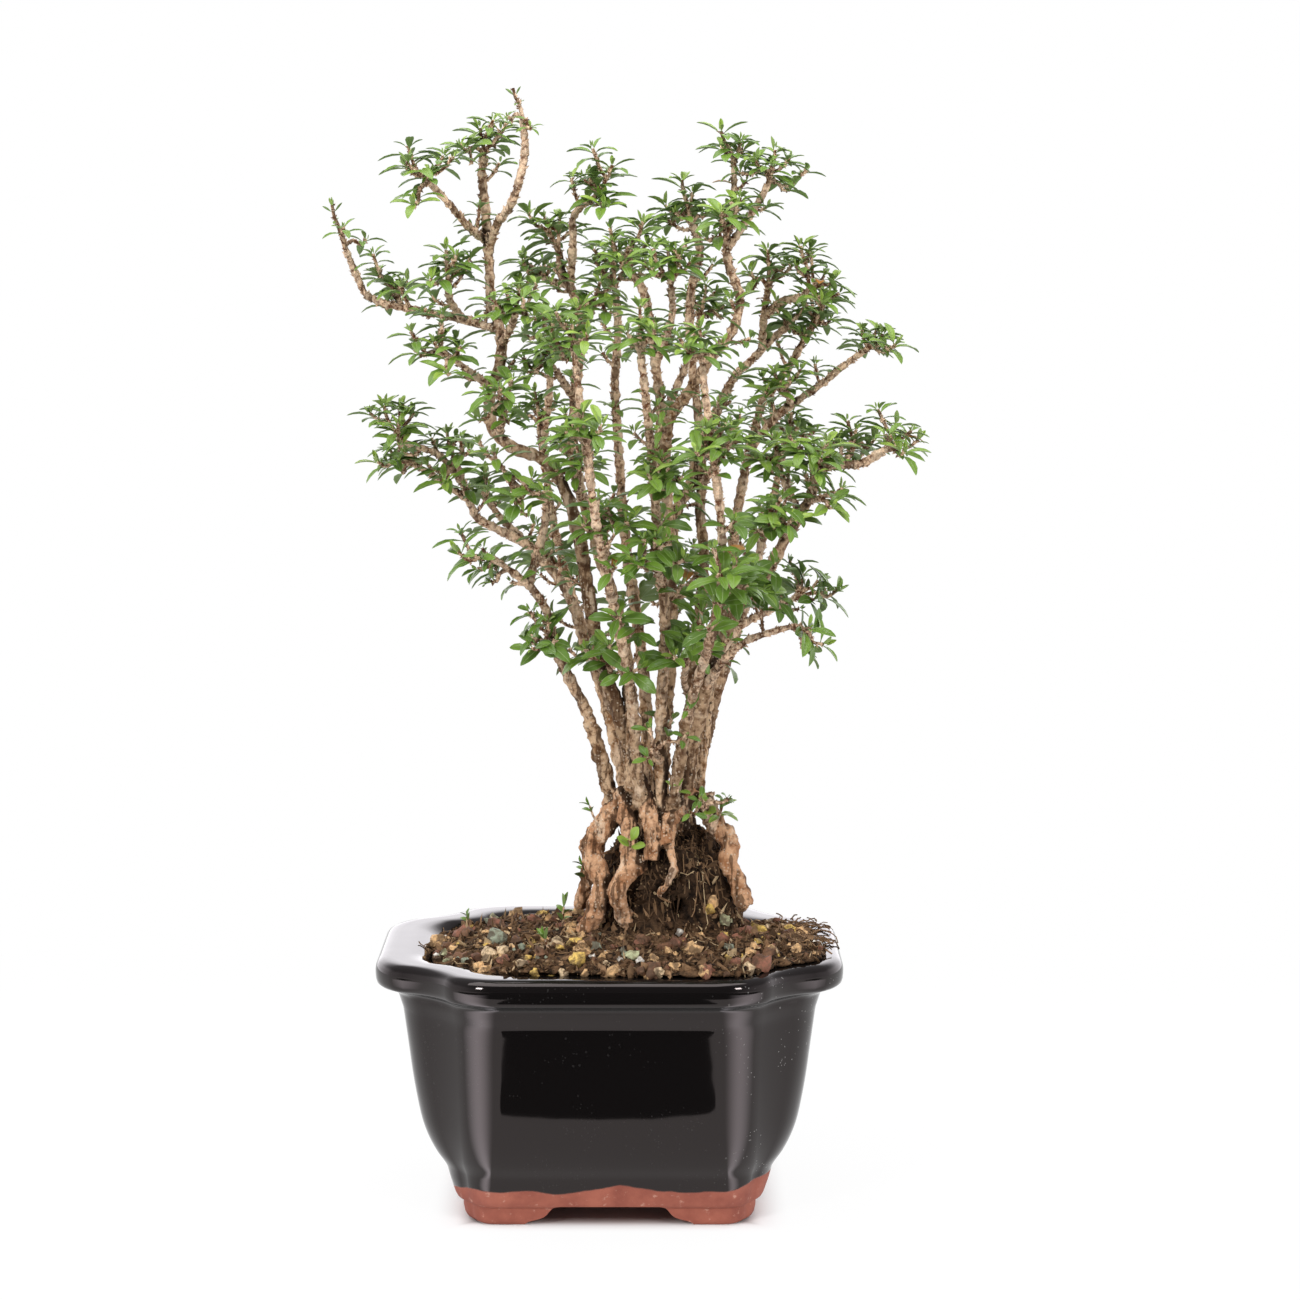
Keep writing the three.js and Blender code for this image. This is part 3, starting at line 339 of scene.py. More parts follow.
def calculate(tree, operation, *values):
    """The result of one sum on sockets or numbers."""
    made = tree.nodes.new("ShaderNodeMath")
    made.operation = operation
    for socket, value in zip(made.inputs, values):
        put(tree, socket, value)
    return made.outputs[0]


def times(tree, first, second):
    """One value times another."""
    return calculate(tree, "MULTIPLY", first, second)


def plus(tree, first, second):
    """One value and another."""
    return calculate(tree, "ADD", first, second)


def minus(tree, first, second):
    """One value less another."""
    return calculate(tree, "SUBTRACT", first, second)


def off_from(tree, value, middle):
    """How far a value is from a middle."""
    return calculate(tree, "ABSOLUTE", minus(tree, value, middle))


def ramp(tree, value, low, high, start=0.0, end=1.0):
    """A value's way from low to high, as a smooth share from start to end."""
    made = node(tree, "ShaderNodeMapRange", {"interpolation_type": "SMOOTHSTEP"}, Value=value)
    for socket, number in zip(made.inputs[1:5], (low, high, start, end)):
        socket.default_value = number
    return made.outputs[0]


def mix_shaders(tree, share, first, second):
    """The first shader, changed to the second by a share."""
    made = tree.nodes.new("ShaderNodeMixShader")
    for socket, value in zip(made.inputs, (share, first.outputs[0], second.outputs[0])):
        put(tree, socket, value)
    return made.outputs[0]


# %% Materials and places in them
def new_material(name, **plain):
    """A material, its node tree and its main shader, with plain values on the shader."""
    material = bpy.data.materials.new(name)
    material.use_nodes = True
    shader = material.node_tree.nodes["Principled BSDF"]
    for label, value in plain.items():
        shader.inputs[label.replace("_", " ")].default_value = value
    return material, material.node_tree, shader


def on_vectors(tree, operation, first, second):
    """The node of one sum on vectors."""
    made = node(tree, "ShaderNodeVectorMath", {"operation": operation})
    put(tree, made.inputs[0], first)
    put(tree, made.inputs[1], second)
    return made


def away_from(tree, origin):
    """A point's place in metres, counted from an origin."""
    spot = node(tree, "ShaderNodeTexCoord").outputs["Object"]
    return on_vectors(tree, "SUBTRACT", spot, origin).outputs["Vector"]


def along_axes(tree, place):
    """The three numbers of a place."""
    return node(tree, "ShaderNodeSeparateXYZ", Vector=place).outputs


# %% World: white to the eye, softly shaded to surfaces
world = bpy.data.worlds.new("studio")
world.use_nodes = True
bpy.context.scene.world = world
surround = world.node_tree
surround.nodes.clear()
WHITE = (1, 1, 1, 1)
SURROUND_TINT = (0.985, 0.965, 1, 1)
AMBIENT = 0.42
BACK_GLOW, BACK_EDGE = 2.0, (0.0, 0.85)
SIDE_GLOW, SIDE_EDGE = 0.55, (0.3, 0.95)
FRONT_DARKNESS, FRONT_EDGE = 0.85, (-0.75, -0.15)  # how much of the front the gloss doesn't mirror
GLOW_MIDDLE, GLOW_EDGE = 0.16, (0.16, 0.5)  # height of the glowing band and its soft edge
seen = node(surround, "ShaderNodeBackground", Color=WHITE, Strength=1.0)
way = along_axes(surround, node(surround, "ShaderNodeTexCoord").outputs["Generated"])
rays = node(surround, "ShaderNodeLightPath").outputs
band = ramp(surround, off_from(surround, way["Z"], GLOW_MIDDLE), *GLOW_EDGE, 1.0, 0.0)
back = ramp(surround, way["Y"], *BACK_EDGE, 0.0, BACK_GLOW)
sides = ramp(surround, calculate(surround, "ABSOLUTE", way["X"]), *SIDE_EDGE, 0.0, SIDE_GLOW)
glow = times(surround, band, plus(surround, back, sides))
front = ramp(surround, way["Y"], *FRONT_EDGE, FRONT_DARKNESS, 0.0)
hidden = times(surround, rays["Is Glossy Ray"], front)
ambient = times(surround, AMBIENT, minus(surround, 1.0, hidden))
lit = node(surround, "ShaderNodeBackground", Color=SURROUND_TINT,
           Strength=plus(surround, ambient, glow))
by_ray = mix_shaders(surround, rays["Is Camera Ray"], lit, seen)
node(surround, "ShaderNodeOutputWorld", Surface=by_ray)
bpy.context.scene.view_settings.view_transform = "Standard"

# %% Floor
FLOOR_HALF = 4000
PAINTED_SHADOW, OPEN = (0.30, 0.25, 0.24, 1), (0.93, 0.93, 0.93, 1)  # the paper under the pot, painted dark as a painted shadow, and beside it
# Where the painted shadow ends and the glow begins, in shares of the rim's half width and half depth.
SHADE_EDGE, FLOOR_FADE = (0.54, 0.66), (0.57, 0.78)
FAR_FADE = (0.10, 0.40)  # in metres from the middle
NEAR_GLOW = 0.95  # share of its own light that the paper has just beside the pot


def flat_sheet(name, corners, material):
    """A flat sheet through corners in mm."""
    mesh = bpy.data.meshes.new(name)
    mesh.from_pydata([in_frame(Vector(corner)) for corner in corners], [], [range(len(corners))])
    mesh.materials.append(material)
    sheet = new_object(name, mesh)
    return sheet


def rectangle(half_width, front, back, height):
    """The corners of a level rectangle."""
    return [(-half_width, front, height), (half_width, front, height),
            (half_width, back, height), (-half_width, back, height)]


paper, tree, shader = new_material("white_paper", Roughness=0.9)
spot = along_axes(tree, away_from(tree, POT_MIDDLE))
shares = [calculate(tree, "DIVIDE", calculate(tree, "ABSOLUTE", spot[axis]), half * MM)
          for axis, half in (("X", HALF_WIDTH), ("Y", HALF_DEPTH))]
reach = calculate(tree, "MAXIMUM", *shares)
put(tree, shader.inputs["Base Color"],
    mix_colours(tree, ramp(tree, reach, *SHADE_EDGE), PAINTED_SHADOW, OPEN))
near_glow = ramp(tree, reach, *FLOOR_FADE, 0.0, NEAR_GLOW)
away = times(tree, reach, (HALF_WIDTH + HALF_DEPTH) / 2 * MM)
far_glow = ramp(tree, away, *FAR_FADE, 0.0, 1 - NEAR_GLOW)
glowing = node(tree, "ShaderNodeEmission", Color=WHITE, Strength=1.0)
put(tree, tree.nodes["Material Output"].inputs["Surface"],
    mix_shaders(tree, plus(tree, near_glow, far_glow), shader, glowing))
flat_sheet("floor", rectangle(FLOOR_HALF, -FLOOR_HALF, FLOOR_HALF, 0), paper)

# %% Black cards
CARD = {"left": -48, "right": 41.5, "front": -262, "back": -129, "corner": (7, 20), "bulge": 5}
CARD_CORNERS = [("right", "back", -1, -1), ("left", "back", 1, -1), ("left", "front", 1, 1),
                ("right", "front", -1, 1)]  # with the way inwards
CARD_HEIGHT = 0.3
FAR_CARD = {"half_width": 700, "front": -3900, "back": CARD["front"]}


def only_mirrored(sheet):
    """Lets a sheet show in reflections alone."""
    for kind in ("camera", "diffuse", "transmission", "volume_scatter", "shadow"):
        setattr(sheet, f"visible_{kind}", False)


round_x, round_y = CARD["corner"]
corners = []
for quarter, (x, y, inward_x, inward_y) in enumerate(CARD_CORNERS):
    middle = Vector((CARD[x] + inward_x * round_x, CARD[y] + inward_y * round_y, CARD_HEIGHT))
    for k in range(5):
        turn = (quarter + k / 4) * math.pi / 2
        corners.append(middle + Vector((round_x * math.cos(turn), round_y * math.sin(turn), 0)))
    if quarter == 0:  # the far edge bulges a little on its way to the next corner
        for share in (0.75, 0.5, 0.25):
            across = CARD["left"] + (CARD["right"] - CARD["left"]) * share
            bulge = CARD["bulge"] * (1 - (2 * share - 1) ** 2)
            corners.append((across, CARD["back"] + bulge, CARD_HEIGHT))
ink = new_material("black_card", Base_Color=(0.001, 0.001, 0.001, 1), Specular_IOR_Level=0)[0]
only_mirrored(flat_sheet("black_card", corners, ink))
only_mirrored(flat_sheet("far_card", rectangle(**FAR_CARD, height=CARD_HEIGHT), ink))

# %% Gleams in the front corners
GLEAM_START, GLEAM_HEIGHT = (43, 48), 0.6  # the foot of a gleam, right of and before the middle
GLEAM_LENGTH, GLEAM_SPREAD = 420, 0.75  # its length, and its half width as a share of the distance
GLEAM_SLANT = 1.2  # its way outwards for each step forwards
GLEAM_TINT = (0.95, 0.93, 1, 1)
for name, side, strength in (("left_gleam", -1, 3.6), ("right_gleam", 1, 3.0)):
    start = Vector((GLEAM_START[0] * side, -GLEAM_START[1], GLEAM_HEIGHT))
    along = Vector((side * GLEAM_SLANT, -1, 0)).normalized()
    across = Vector((-along.y, along.x, 0))
    soft, tree, _ = new_material(name)
    from_start = away_from(tree, in_frame(start))
    run, off = (on_vectors(tree, "DOT_PRODUCT", from_start, way).outputs["Value"]
                for way in (along, across))
    off = calculate(tree, "DIVIDE", calculate(tree, "ABSOLUTE", off), plus(tree, run, MM))
    share = times(tree, ramp(tree, off, 0.0, GLEAM_SPREAD, 1.0, 0.0), strength)
    shine = node(tree, "ShaderNodeEmission", Color=GLEAM_TINT, Strength=share)
    clear = node(tree, "ShaderNodeAddShader")
    put(tree, clear.inputs[0], shine.outputs[0])
    put(tree, clear.inputs[1], node(tree, "ShaderNodeBsdfTransparent").outputs[0])
    put(tree, tree.nodes["Material Output"].inputs["Surface"], clear.outputs[0])
    end, wide = start + along * GLEAM_LENGTH, across * GLEAM_LENGTH * GLEAM_SPREAD
    only_mirrored(flat_sheet(name, [start, end + wide, end - wide], soft))


# %% Lights
def soft_light(name, place, target, size, power):
    """A square soft light at a place, turned to a target, both in mm."""
    lamp = bpy.data.lights.new(name, "AREA")
    lamp.shape = "SQUARE"
    lamp.size = size * MM
    lamp.energy = power
    body = new_object(name, lamp)
    body.location = in_frame(Vector(place))
    body.rotation_euler = (Vector(place) - Vector(target)).to_track_quat("Z", "Y").to_euler()


soft_light("overhead", (-100, -150, 1300), (0, 0, 200), 1200, 14)
soft_light("front_left", (-800, -1150, 800), (0, 0, 150), 240, 9)
soft_light("front_right", (800, -1120, 760), (0, 0, 150), 240, 6)
print("soft lights:", [lamp.name for lamp in bpy.data.lights])

# %% [markdown]
# ## Effects that several finishes share
# Three shader groups are built once: a slow drift between two colours, a fine relief from two sizes
# of noise, and scattered specks. Each material places them with its own values, and lays its
# colours over each other, each through its own mask.


# %% Shader groups
def new_group(name, sockets_in, sockets_out):
    """An empty shader group with the inputs and outputs named."""
    group = bpy.data.node_groups.new(name, "ShaderNodeTree")
    for label, default in sockets_in:
        kind = "NodeSocketColor" if isinstance(default, tuple) else "NodeSocketFloat"
        group.interface.new_socket(label, in_out="INPUT", socket_type=kind).default_value = default
    for label, kind in sockets_out:
        group.interface.new_socket(label, in_out="OUTPUT", socket_type=kind)
    given, out = group.nodes.new("NodeGroupInput"), group.nodes.new("NodeGroupOutput")
    return group, given.outputs, out.inputs


def noise_at(tree, scale, detail=3.0, rough=0.5, stretch=None):
    """Noise over the object's own coordinates, about 0 to 1."""
    spot = node(tree, "ShaderNodeTexCoord").outputs["Object"]
    if stretch:
        spot = node(tree, "ShaderNodeMapping", Vector=spot, Scale=stretch).outputs[0]
    return node(tree, "ShaderNodeTexNoise", Vector=spot, Scale=scale, Detail=detail,
                Roughness=rough).outputs[0]


drift, given, out = new_group(
    "colour_drift",
    [("First", (1, 1, 1, 1)), ("Second", (0, 0, 0, 1)), ("Scale", 100.0), ("Middle", 0.5),
     ("Softness", 0.1)],
    [("Color", "NodeSocketColor"), ("Mask", "NodeSocketFloat")])
waves = noise_at(drift, given["Scale"], 4.0, 0.6)
low = minus(drift, given["Middle"], given["Softness"])
share = calculate(drift, "DIVIDE", minus(drift, waves, low), times(drift, given["Softness"], 2.0))
share = node(drift, "ShaderNodeClamp", Value=share).outputs[0]
put(drift, out["Mask"], share)
put(drift, out["Color"], mix_colours(drift, share, given["First"], given["Second"]))

relief, given, out = new_group(
    "fine_relief", [("Coarse", 200.0), ("Fine", 900.0), ("Fineness", 0.4)],
    [("Height", "NodeSocketFloat")])
fine = times(relief, noise_at(relief, given["Fine"], 2.0), given["Fineness"])
put(relief, out["Height"], plus(relief, noise_at(relief, given["Coarse"], 3.0), fine))

specks, given, out = new_group(
    "specks", [("Scale", 400.0), ("Size", 0.12), ("Patches", 30.0), ("Amount", 0.5)],
    [("Mask", "NodeSocketFloat")])
cells = node(specks, "ShaderNodeTexVoronoi", Scale=given["Scale"],
             Vector=node(specks, "ShaderNodeTexCoord").outputs["Object"])
near = calculate(specks, "LESS_THAN", cells.outputs["Distance"], given["Size"])
chosen = calculate(specks, "LESS_THAN", noise_at(specks, given["Patches"], 2.0), given["Amount"])
tone = node(specks, "ShaderNodeSeparateColor", Color=cells.outputs["Color"]).outputs[0]
rare = calculate(specks, "LESS_THAN", tone, given["Amount"])
put(specks, out["Mask"], times(specks, near, times(specks, chosen, rare)))
print("shader groups:", [group.name for group in bpy.data.node_groups])


# %% Groups placed in a material
def grouped(tree, group, *values):
    """The outputs of a group placed in a material with its own values."""
    placed = tree.nodes.new("ShaderNodeGroup")
    placed.node_tree = group
    for socket, value in zip(placed.inputs, values):
        put(tree, socket, value)
    return placed.outputs


def drifting(tree, first, second, scale, middle, softness):
    """A colour that drifts between two."""
    return grouped(tree, drift, (*first, 1), (*second, 1), scale, middle, softness)["Color"]


def patches(tree, scale, middle, softness):
    """A mask of soft patches."""
    return grouped(tree, drift, WHITE, WHITE, scale, middle, softness)["Mask"]


def speckled(tree, scale, size, patch_scale, amount):
    """A mask of scattered specks."""
    return grouped(tree, specks, scale, size, patch_scale, amount)["Mask"]


def layered(tree, tone, layers):
    """A colour under layers: the mask of each, how strongly it covers, and its colour."""
    for mask, cover, colour in layers:
        tone = mix_colours(tree, times(tree, mask, cover), tone, (*colour, 1))
    return tone


def kept_number(tree, label):
    """A number kept at the points of the mesh."""
    return node(tree, "ShaderNodeAttribute", {"attribute_name": label}).outputs["Fac"]


def colour_scale(tree, value, stops, blending="LINEAR"):
    """A colour for a value from 0 to 1, through stops with a place and a colour each."""
    made = tree.nodes.new("ShaderNodeValToRGB")
    made.color_ramp.interpolation = blending
    put(tree, made.inputs[0], value)
    for number, (at, colour) in enumerate(stops):
        stop = made.color_ramp.elements[number] if number < 2 else made.color_ramp.elements.new(at)
        stop.position = at
        stop.color = (*colour, 1)
    return made.outputs[0]


def fine_relief(tree, coarse, fine, fineness):
    """A height of two sizes of noise."""
    return grouped(tree, relief, coarse, fine, fineness)["Height"]


def add_bump(tree, shader, height, strength, distance):
    """Relief from a height, on the main shader."""
    made = node(tree, "ShaderNodeBump", Height=height, Strength=strength, Distance=distance)
    put(tree, shader.inputs["Normal"], made.outputs[0])


# %% [markdown]
# ## Pot
# The pot is slip-cast stoneware: a rectangle whose four corners are cut by slightly hollow
# diagonals, on four feet, with a rolled rim. One plan is drawn for a quarter of the outline and
# mirrored. Every level of the pot is the same plan at its own size, so the whole wall is one skin
# from the foot over the rim to the inner floor. The front stands out a little just under the rim.
# The gaps between the feet, the hollow underneath and the two drain holes are then cut out of it,
# as they are on the real pot.

# %% Plan of the pot
FRONT_LENGTH, SIDE_LENGTH = 43, 32  # from the middle of a face to its corner, at the rim
RIM_CORNER, WALL_CORNER, MOST_SOFTNESS = 9, 7.5, 0.35
RIM_HOLLOW, WALL_HOLLOW = 0.05, 0.015  # of the diagonals, as a share of their length
ALONG_DIAGONAL = [t / 8 for t in range(1, 8)]
CORNER_PIECES = 7


def bend(before, corner, after):
    """A rounded corner between two places."""
    shares = [k / CORNER_PIECES for k in range(CORNER_PIECES + 1)]
    return [before * (1 - t) ** 2 + corner * 2 * t * (1 - t) + after * t * t for t in shares]


def outline(half_width, half_depth, front_length, side_length,
            softness=RIM_CORNER, hollow=RIM_HOLLOW):
    """One round of a plan, anticlockwise from the right-hand face."""
    side_corner = Vector((half_width, side_length, 0))
    face_corner = Vector((front_length, half_depth, 0))
    diagonal = (face_corner - side_corner).length
    slant = (face_corner - side_corner) / diagonal
    inward = Vector((-slant.y, slant.x, 0)) * hollow * diagonal
    soft = min(softness, MOST_SOFTNESS * diagonal)
    side_part = bend(side_corner - Vector((0, soft, 0)), side_corner, side_corner + slant * soft)
    face_part = bend(face_corner - slant * soft, face_corner, face_corner - Vector((soft, 0, 0)))
    across = [side_part[-1].lerp(face_part[0], t) + inward * (1 - (2 * t - 1) ** 2)
              for t in ALONG_DIAGONAL]
    quarter = [Vector((half_width, side_part[0].y * t, 0)) for t in (0.3, 0.7)] + side_part + across
    quarter += face_part + [Vector((face_part[-1].x * t, half_depth, 0)) for t in (0.75, 0.45, 0.15)]
    around = []
    for x_side, y_side in ((1, 1), (-1, 1), (-1, -1), (1, -1)):
        mirrored = [Vector((p.x * x_side, p.y * y_side, 0)) for p in quarter]
        around += mirrored if x_side == y_side else mirrored[::-1]
    return around


# %% Plan at a height
FACES = {"kept": 0.953, "from": 75, "full": 60, "most_of_width": 0.88, "most_of_depth": 0.78,
         "outside": 0.85}  # plans larger than this share belong to the outer wall
STEEP_FRONT = {"gain": 0.04, "from": 70, "full": 16}
FRONT_LIP = {"reach": 0.95, "from": 65.8, "full": 71.2, "fading": 72.5, "gone": 76}  # under the rim
HOLLOWING = (71, 76)  # heights between which the diagonals take the rim's deeper hollow


def plan_at(height, share):
    """The pot's plan at a height. The faces keep their length, so the diagonals narrow downwards."""
    half_width = HALF_WIDTH * share
    low_share = (STEEP_FRONT["from"] - height) / (STEEP_FRONT["from"] - STEEP_FRONT["full"])
    gain = STEEP_FRONT["gain"] * clamp(low_share)
    half_depth = HALF_DEPTH * (share + gain)
    rimward = ease(height, FACES["full"], FACES["from"])
    faces = FACES["kept"] * (1 - rimward) + share * rimward
    if height < FACES["from"] and share > FACES["outside"]:
        faces = max(faces, FACES["kept"])
        half_depth += (FRONT_LIP["reach"] * ease(height, FRONT_LIP["from"], FRONT_LIP["full"])
                       * (1 - ease(height, FRONT_LIP["fading"], FRONT_LIP["gone"])))
    around = outline(half_width, half_depth,
                     min(FRONT_LENGTH * faces, half_width * FACES["most_of_width"]),
                     min(SIDE_LENGTH * faces, half_depth * FACES["most_of_depth"]),
                     WALL_CORNER + (RIM_CORNER - WALL_CORNER) * rimward,
                     WALL_HOLLOW + (RIM_HOLLOW - WALL_HOLLOW) * ease(height, *HOLLOWING))
    return [Vector((p.x, p.y, height)) for p in around]


RIM_PLAN = outline(HALF_WIDTH, HALF_DEPTH, FRONT_LENGTH, SIDE_LENGTH)
print("points in the plan:", len(RIM_PLAN))

# %% Wall of the pot
OUTER_WALL = [  # height and share of the rim's plan, from the foot up to the rim
    (0, 0.590), (0.25, 0.601), (0.8, 0.613), (1.8, 0.622), (3.6, 0.627), (5.4, 0.628), (6.05, 0.631),
    (6.35, 0.641), (6.9, 0.655), (8.0, 0.664), (9.6, 0.672), (11.7, 0.682), (14.2, 0.692), (16.3, 0.700),
    (18.2, 0.717), (20.5, 0.741), (24, 0.768), (27.5, 0.789), (31.6, 0.807), (39.5, 0.829), (47, 0.8455),
    (55, 0.8595), (63, 0.874), (68.3, 0.8855), (70.2, 0.8945), (71.3, 0.899), (72, 0.9025),
    (72.7, 0.9065), (73.4, 0.912), (74.2, 0.931),
    (75, 0.962), (75.6, 0.984), (76.4, 0.9945), (77.6, 0.9985), (80.5, 1), (82, 0.996), (83, 0.985),
    (83.7, 0.968), (84, 0.945),
]
INNER_WALL = [  # on from the rim down to the floor
    (84, 0.90), (83.9, 0.85), (83.4, 0.815), (82.4, 0.79), (81, 0.772), (79, 0.762), (60, 0.75),
    (46, 0.745), (30, 0.68), (17.5, 0.53), (15.5, 0.5),
]
LEVEL_STEP = 1.5
knots = [Vector((share * HALF_WIDTH, 0, height)) for height, share in OUTER_WALL + INNER_WALL]
levels = [(place.z, min(place.x / HALF_WIDTH, 1)) for place in smooth_line(knots, LEVEL_STEP)]
levels = [(clamp(height, 0, pot_high.z / MM), share) for height, share in levels]
wall = Gathered()
wall.add(*skin([plan_at(*level) for level in levels]))
pot = wall.piece("fine_pot")
face_outwards(pot, 40)
print("levels of the pot:", len(levels))

# %% Cuts in the pot
FOOT_GAP_EDGE = [  # half width of a gap between feet and height, from the ground up
    (1.01, -2), (1, 0), (0.985, 0.7), (0.955, 1.3), (0.90, 1.8), (0.83, 2.3), (0.775, 2.9), (0.735, 3.8),
    (0.70, 5.0), (0.665, 6.0), (0.63, 6.55), (0.59, 6.8),
]
FRONT_GAP, SIDE_GAP = 27, 13.5
RECESS_LEVELS = [(-2, 0.5), (5.9, 0.475), (6.8, 0.46)]
DRAIN_HOLES = {"radius": 5, "offset": 22, "bottom": 1, "top": 22, "sides": 32}


def foot_gap(half_width, along_x):
    """A slot between two feet with rounded shoulders."""
    edge = [(half_width * share, height) for share, height in FOOT_GAP_EDGE]
    edge += [(-run, height) for run, height in reversed(edge)]
    rings = []
    for reach in (-HALF_WIDTH, HALF_WIDTH):
        rings.append([Vector((reach, run, z) if along_x else (run, reach, z)) for run, z in edge])
    return skin(rings)


def drain_hole(x):
    """An upright round hole through the pot's floor."""
    turns = [TAU * k / DRAIN_HOLES["sides"] for k in range(DRAIN_HOLES["sides"])]
    radius = DRAIN_HOLES["radius"]
    return skin([[Vector((x + radius * math.cos(turn), radius * math.sin(turn), z)) for turn in turns]
                 for z in (DRAIN_HOLES["bottom"], DRAIN_HOLES["top"])])


recess = [[Vector((p.x * share, p.y * share, height)) for p in RIM_PLAN]
          for height, share in RECESS_LEVELS]
cuts = [skin(recess), foot_gap(FRONT_GAP, False), foot_gap(SIDE_GAP, True)]
cuts += [drain_hole(x) for x in (-DRAIN_HOLES["offset"], DRAIN_HOLES["offset"])]
cutters = []
for number, cut in enumerate(cuts):
    shape = Gathered()
    shape.add(*cut)
    cutter = shape.piece(f"cut_{number}")
    face_outwards(cutter, 30)
    cutters.append(cutter)
    boolean = pot.modifiers.new(f"cut_{number}", "BOOLEAN")
    boolean.operation = "DIFFERENCE"
    boolean.solver = "EXACT"
    boolean.object = cutter
freeze(pot)
for cutter in cutters:
    bpy.data.objects.remove(cutter)
pot.data.materials.clear()
face_outwards(pot, 34)

# %% [markdown]
# ## Glaze
# The glaze is a black glass over red-brown clay. It stops a finger above the ground in a slightly
# wavy line, where the wiped clay shows, dry and scratched. One shader carries both: a mask by
# height mixes colour and roughness. Glass needs almost no colour of its own, as what it mirrors
# does the work, so the relief is kept very low. A few specks of dust lie on it.

# %% Glazed stoneware
GLAZE_LINE, GLAZE_EDGE = 0.0124, (-0.0004, 0.0003)  # its height in metres, and its soft edge
GLAZE_WAVES = [  # where the line rises or dips: middle of the wave, its half width and its rise in mm
    (3, 15, 1.9), (-16, 9, -0.9), (50, 14, 2.6), (-58, 16, -4.2), (26, 8, -0.5),
]
WANDER = 0.0022
CLAY_ROUGHNESS, GLASS_ROUGHNESS = 0.78, 0.055
glazed, tree, shader = new_material("glazed_stoneware", IOR=1.46, Specular_Tint=(1, 0.87, 0.85, 1))
spot = along_axes(tree, away_from(tree, POT_MIDDLE))
wander = times(tree, minus(tree, noise_at(tree, 90.0, 3.0), 0.5), WANDER)
line = plus(tree, spot["Z"], wander)
for middle, reach, rise in GLAZE_WAVES:
    wave = ramp(tree, off_from(tree, spot["X"], middle * MM), 0.0, reach * MM, rise * MM, 0.0)
    line = minus(tree, line, wave)
low_edge, high_edge = (GLAZE_LINE + edge for edge in GLAZE_EDGE)
glaze_mask = ramp(tree, line, low_edge, high_edge)
clay = drifting(tree, (0.235, 0.062, 0.040), (0.36, 0.110, 0.070), 90.0, 0.5, 0.16)
clay = layered(tree, clay, [(patches(tree, 420.0, 0.66, 0.05), 0.5, (0.62, 0.36, 0.27))])
dusty = ramp(tree, spot["X"], 0.030, 0.050, 0.035, 0.40)
dust = times(tree, dusty, calculate(
    tree, "MAXIMUM", speckled(tree, 430.0, 0.16, 40.0, 0.42), speckled(tree, 900.0, 0.20, 70.0, 0.45)))
glass = mix_colours(tree, dust, (0.0052, 0.0044, 0.0044, 1), (0.36, 0.35, 0.34, 1))
put(tree, shader.inputs["Base Color"], mix_colours(tree, glaze_mask, clay, glass))
roughness = ramp(tree, line, low_edge, high_edge, CLAY_ROUGHNESS, GLASS_ROUGHNESS)
put(tree, shader.inputs["Roughness"], plus(tree, roughness, times(tree, dust, 0.8)))
bare = minus(tree, 1.0, glaze_mask)
clay_height = times(tree, fine_relief(tree, 500.0, 2200.0, 0.5), bare)
glass_height = times(tree, noise_at(tree, 42.0, 2.0), 0.34)
glass_height = plus(tree, glass_height, times(tree, glaze_mask, 0.6))
add_bump(tree, shader, plus(tree, times(tree, clay_height, 0.5), glass_height), 0.5, 0.0005)
finish_piece(pot, glazed, ["pot"])

# %% [markdown]
# ## Roots and stems
# Some fifteen thin stems rise from one stump that stands on bent roots, and fork into twigs. Each
# limb is a tapered tube along a smooth curve through its drawn points. A thin branch starts on the
# middle of the limb it grows from. The drawn points, thicknesses and leafy tips are listed once and
# serve wood and leaves alike.

# %% Roots: name, thickness at the crown and at the far end, drawn points
ROOTS = [
    ("left", 6.8, 5.2,
     [(622, 796, 0), (612, 815, -4), (600, 830, -6), (589, 847, -6), (595, 864, -7), (602, 885, -8),
      (597, 907, -9), (583, 934, -9)]),
    ("left_knee", 6.0, 4.4,
     [(622, 788, -3), (625, 810, -6), (630, 832, -9), (628, 868, -11)]),
    ("arch", 5.6, 4.6,
     [(642, 862, -8), (627, 873, -12), (619, 888, -14), (620, 906, -13), (632, 926, -9)]),
    ("front", 5.6, 4.4,
     [(637, 780, -4), (645, 802, -8), (651, 824, -11), (652, 860, -12)]),
    ("middle", 5.8, 4.4,
     [(690, 790, -2), (680, 806, -6), (669, 820, -9), (667, 846, -12)]),
    ("right", 6.4, 4.8,
     [(702, 796, 2), (717, 826, 2), (730, 843, 2), (727, 860, 1), (736, 878, 0), (744, 906, -1)]),
    ("thread", 2.2, 1.8,
     [(667, 842, -11), (674, 868, -14), (658, 896, -14)]),
    ("left_back", 6.0, 4.0,
     [(618, 800, 12), (601, 828, 16), (592, 862, 19), (580, 908, 23)]),
    ("back", 6.0, 4.0,
     [(655, 800, 20), (658, 830, 24), (664, 868, 27), (672, 908, 32)]),
    ("right_back", 5.6, 4.0,
     [(702, 800, 16), (718, 832, 19), (727, 868, 22), (744, 908, 26)]),
]

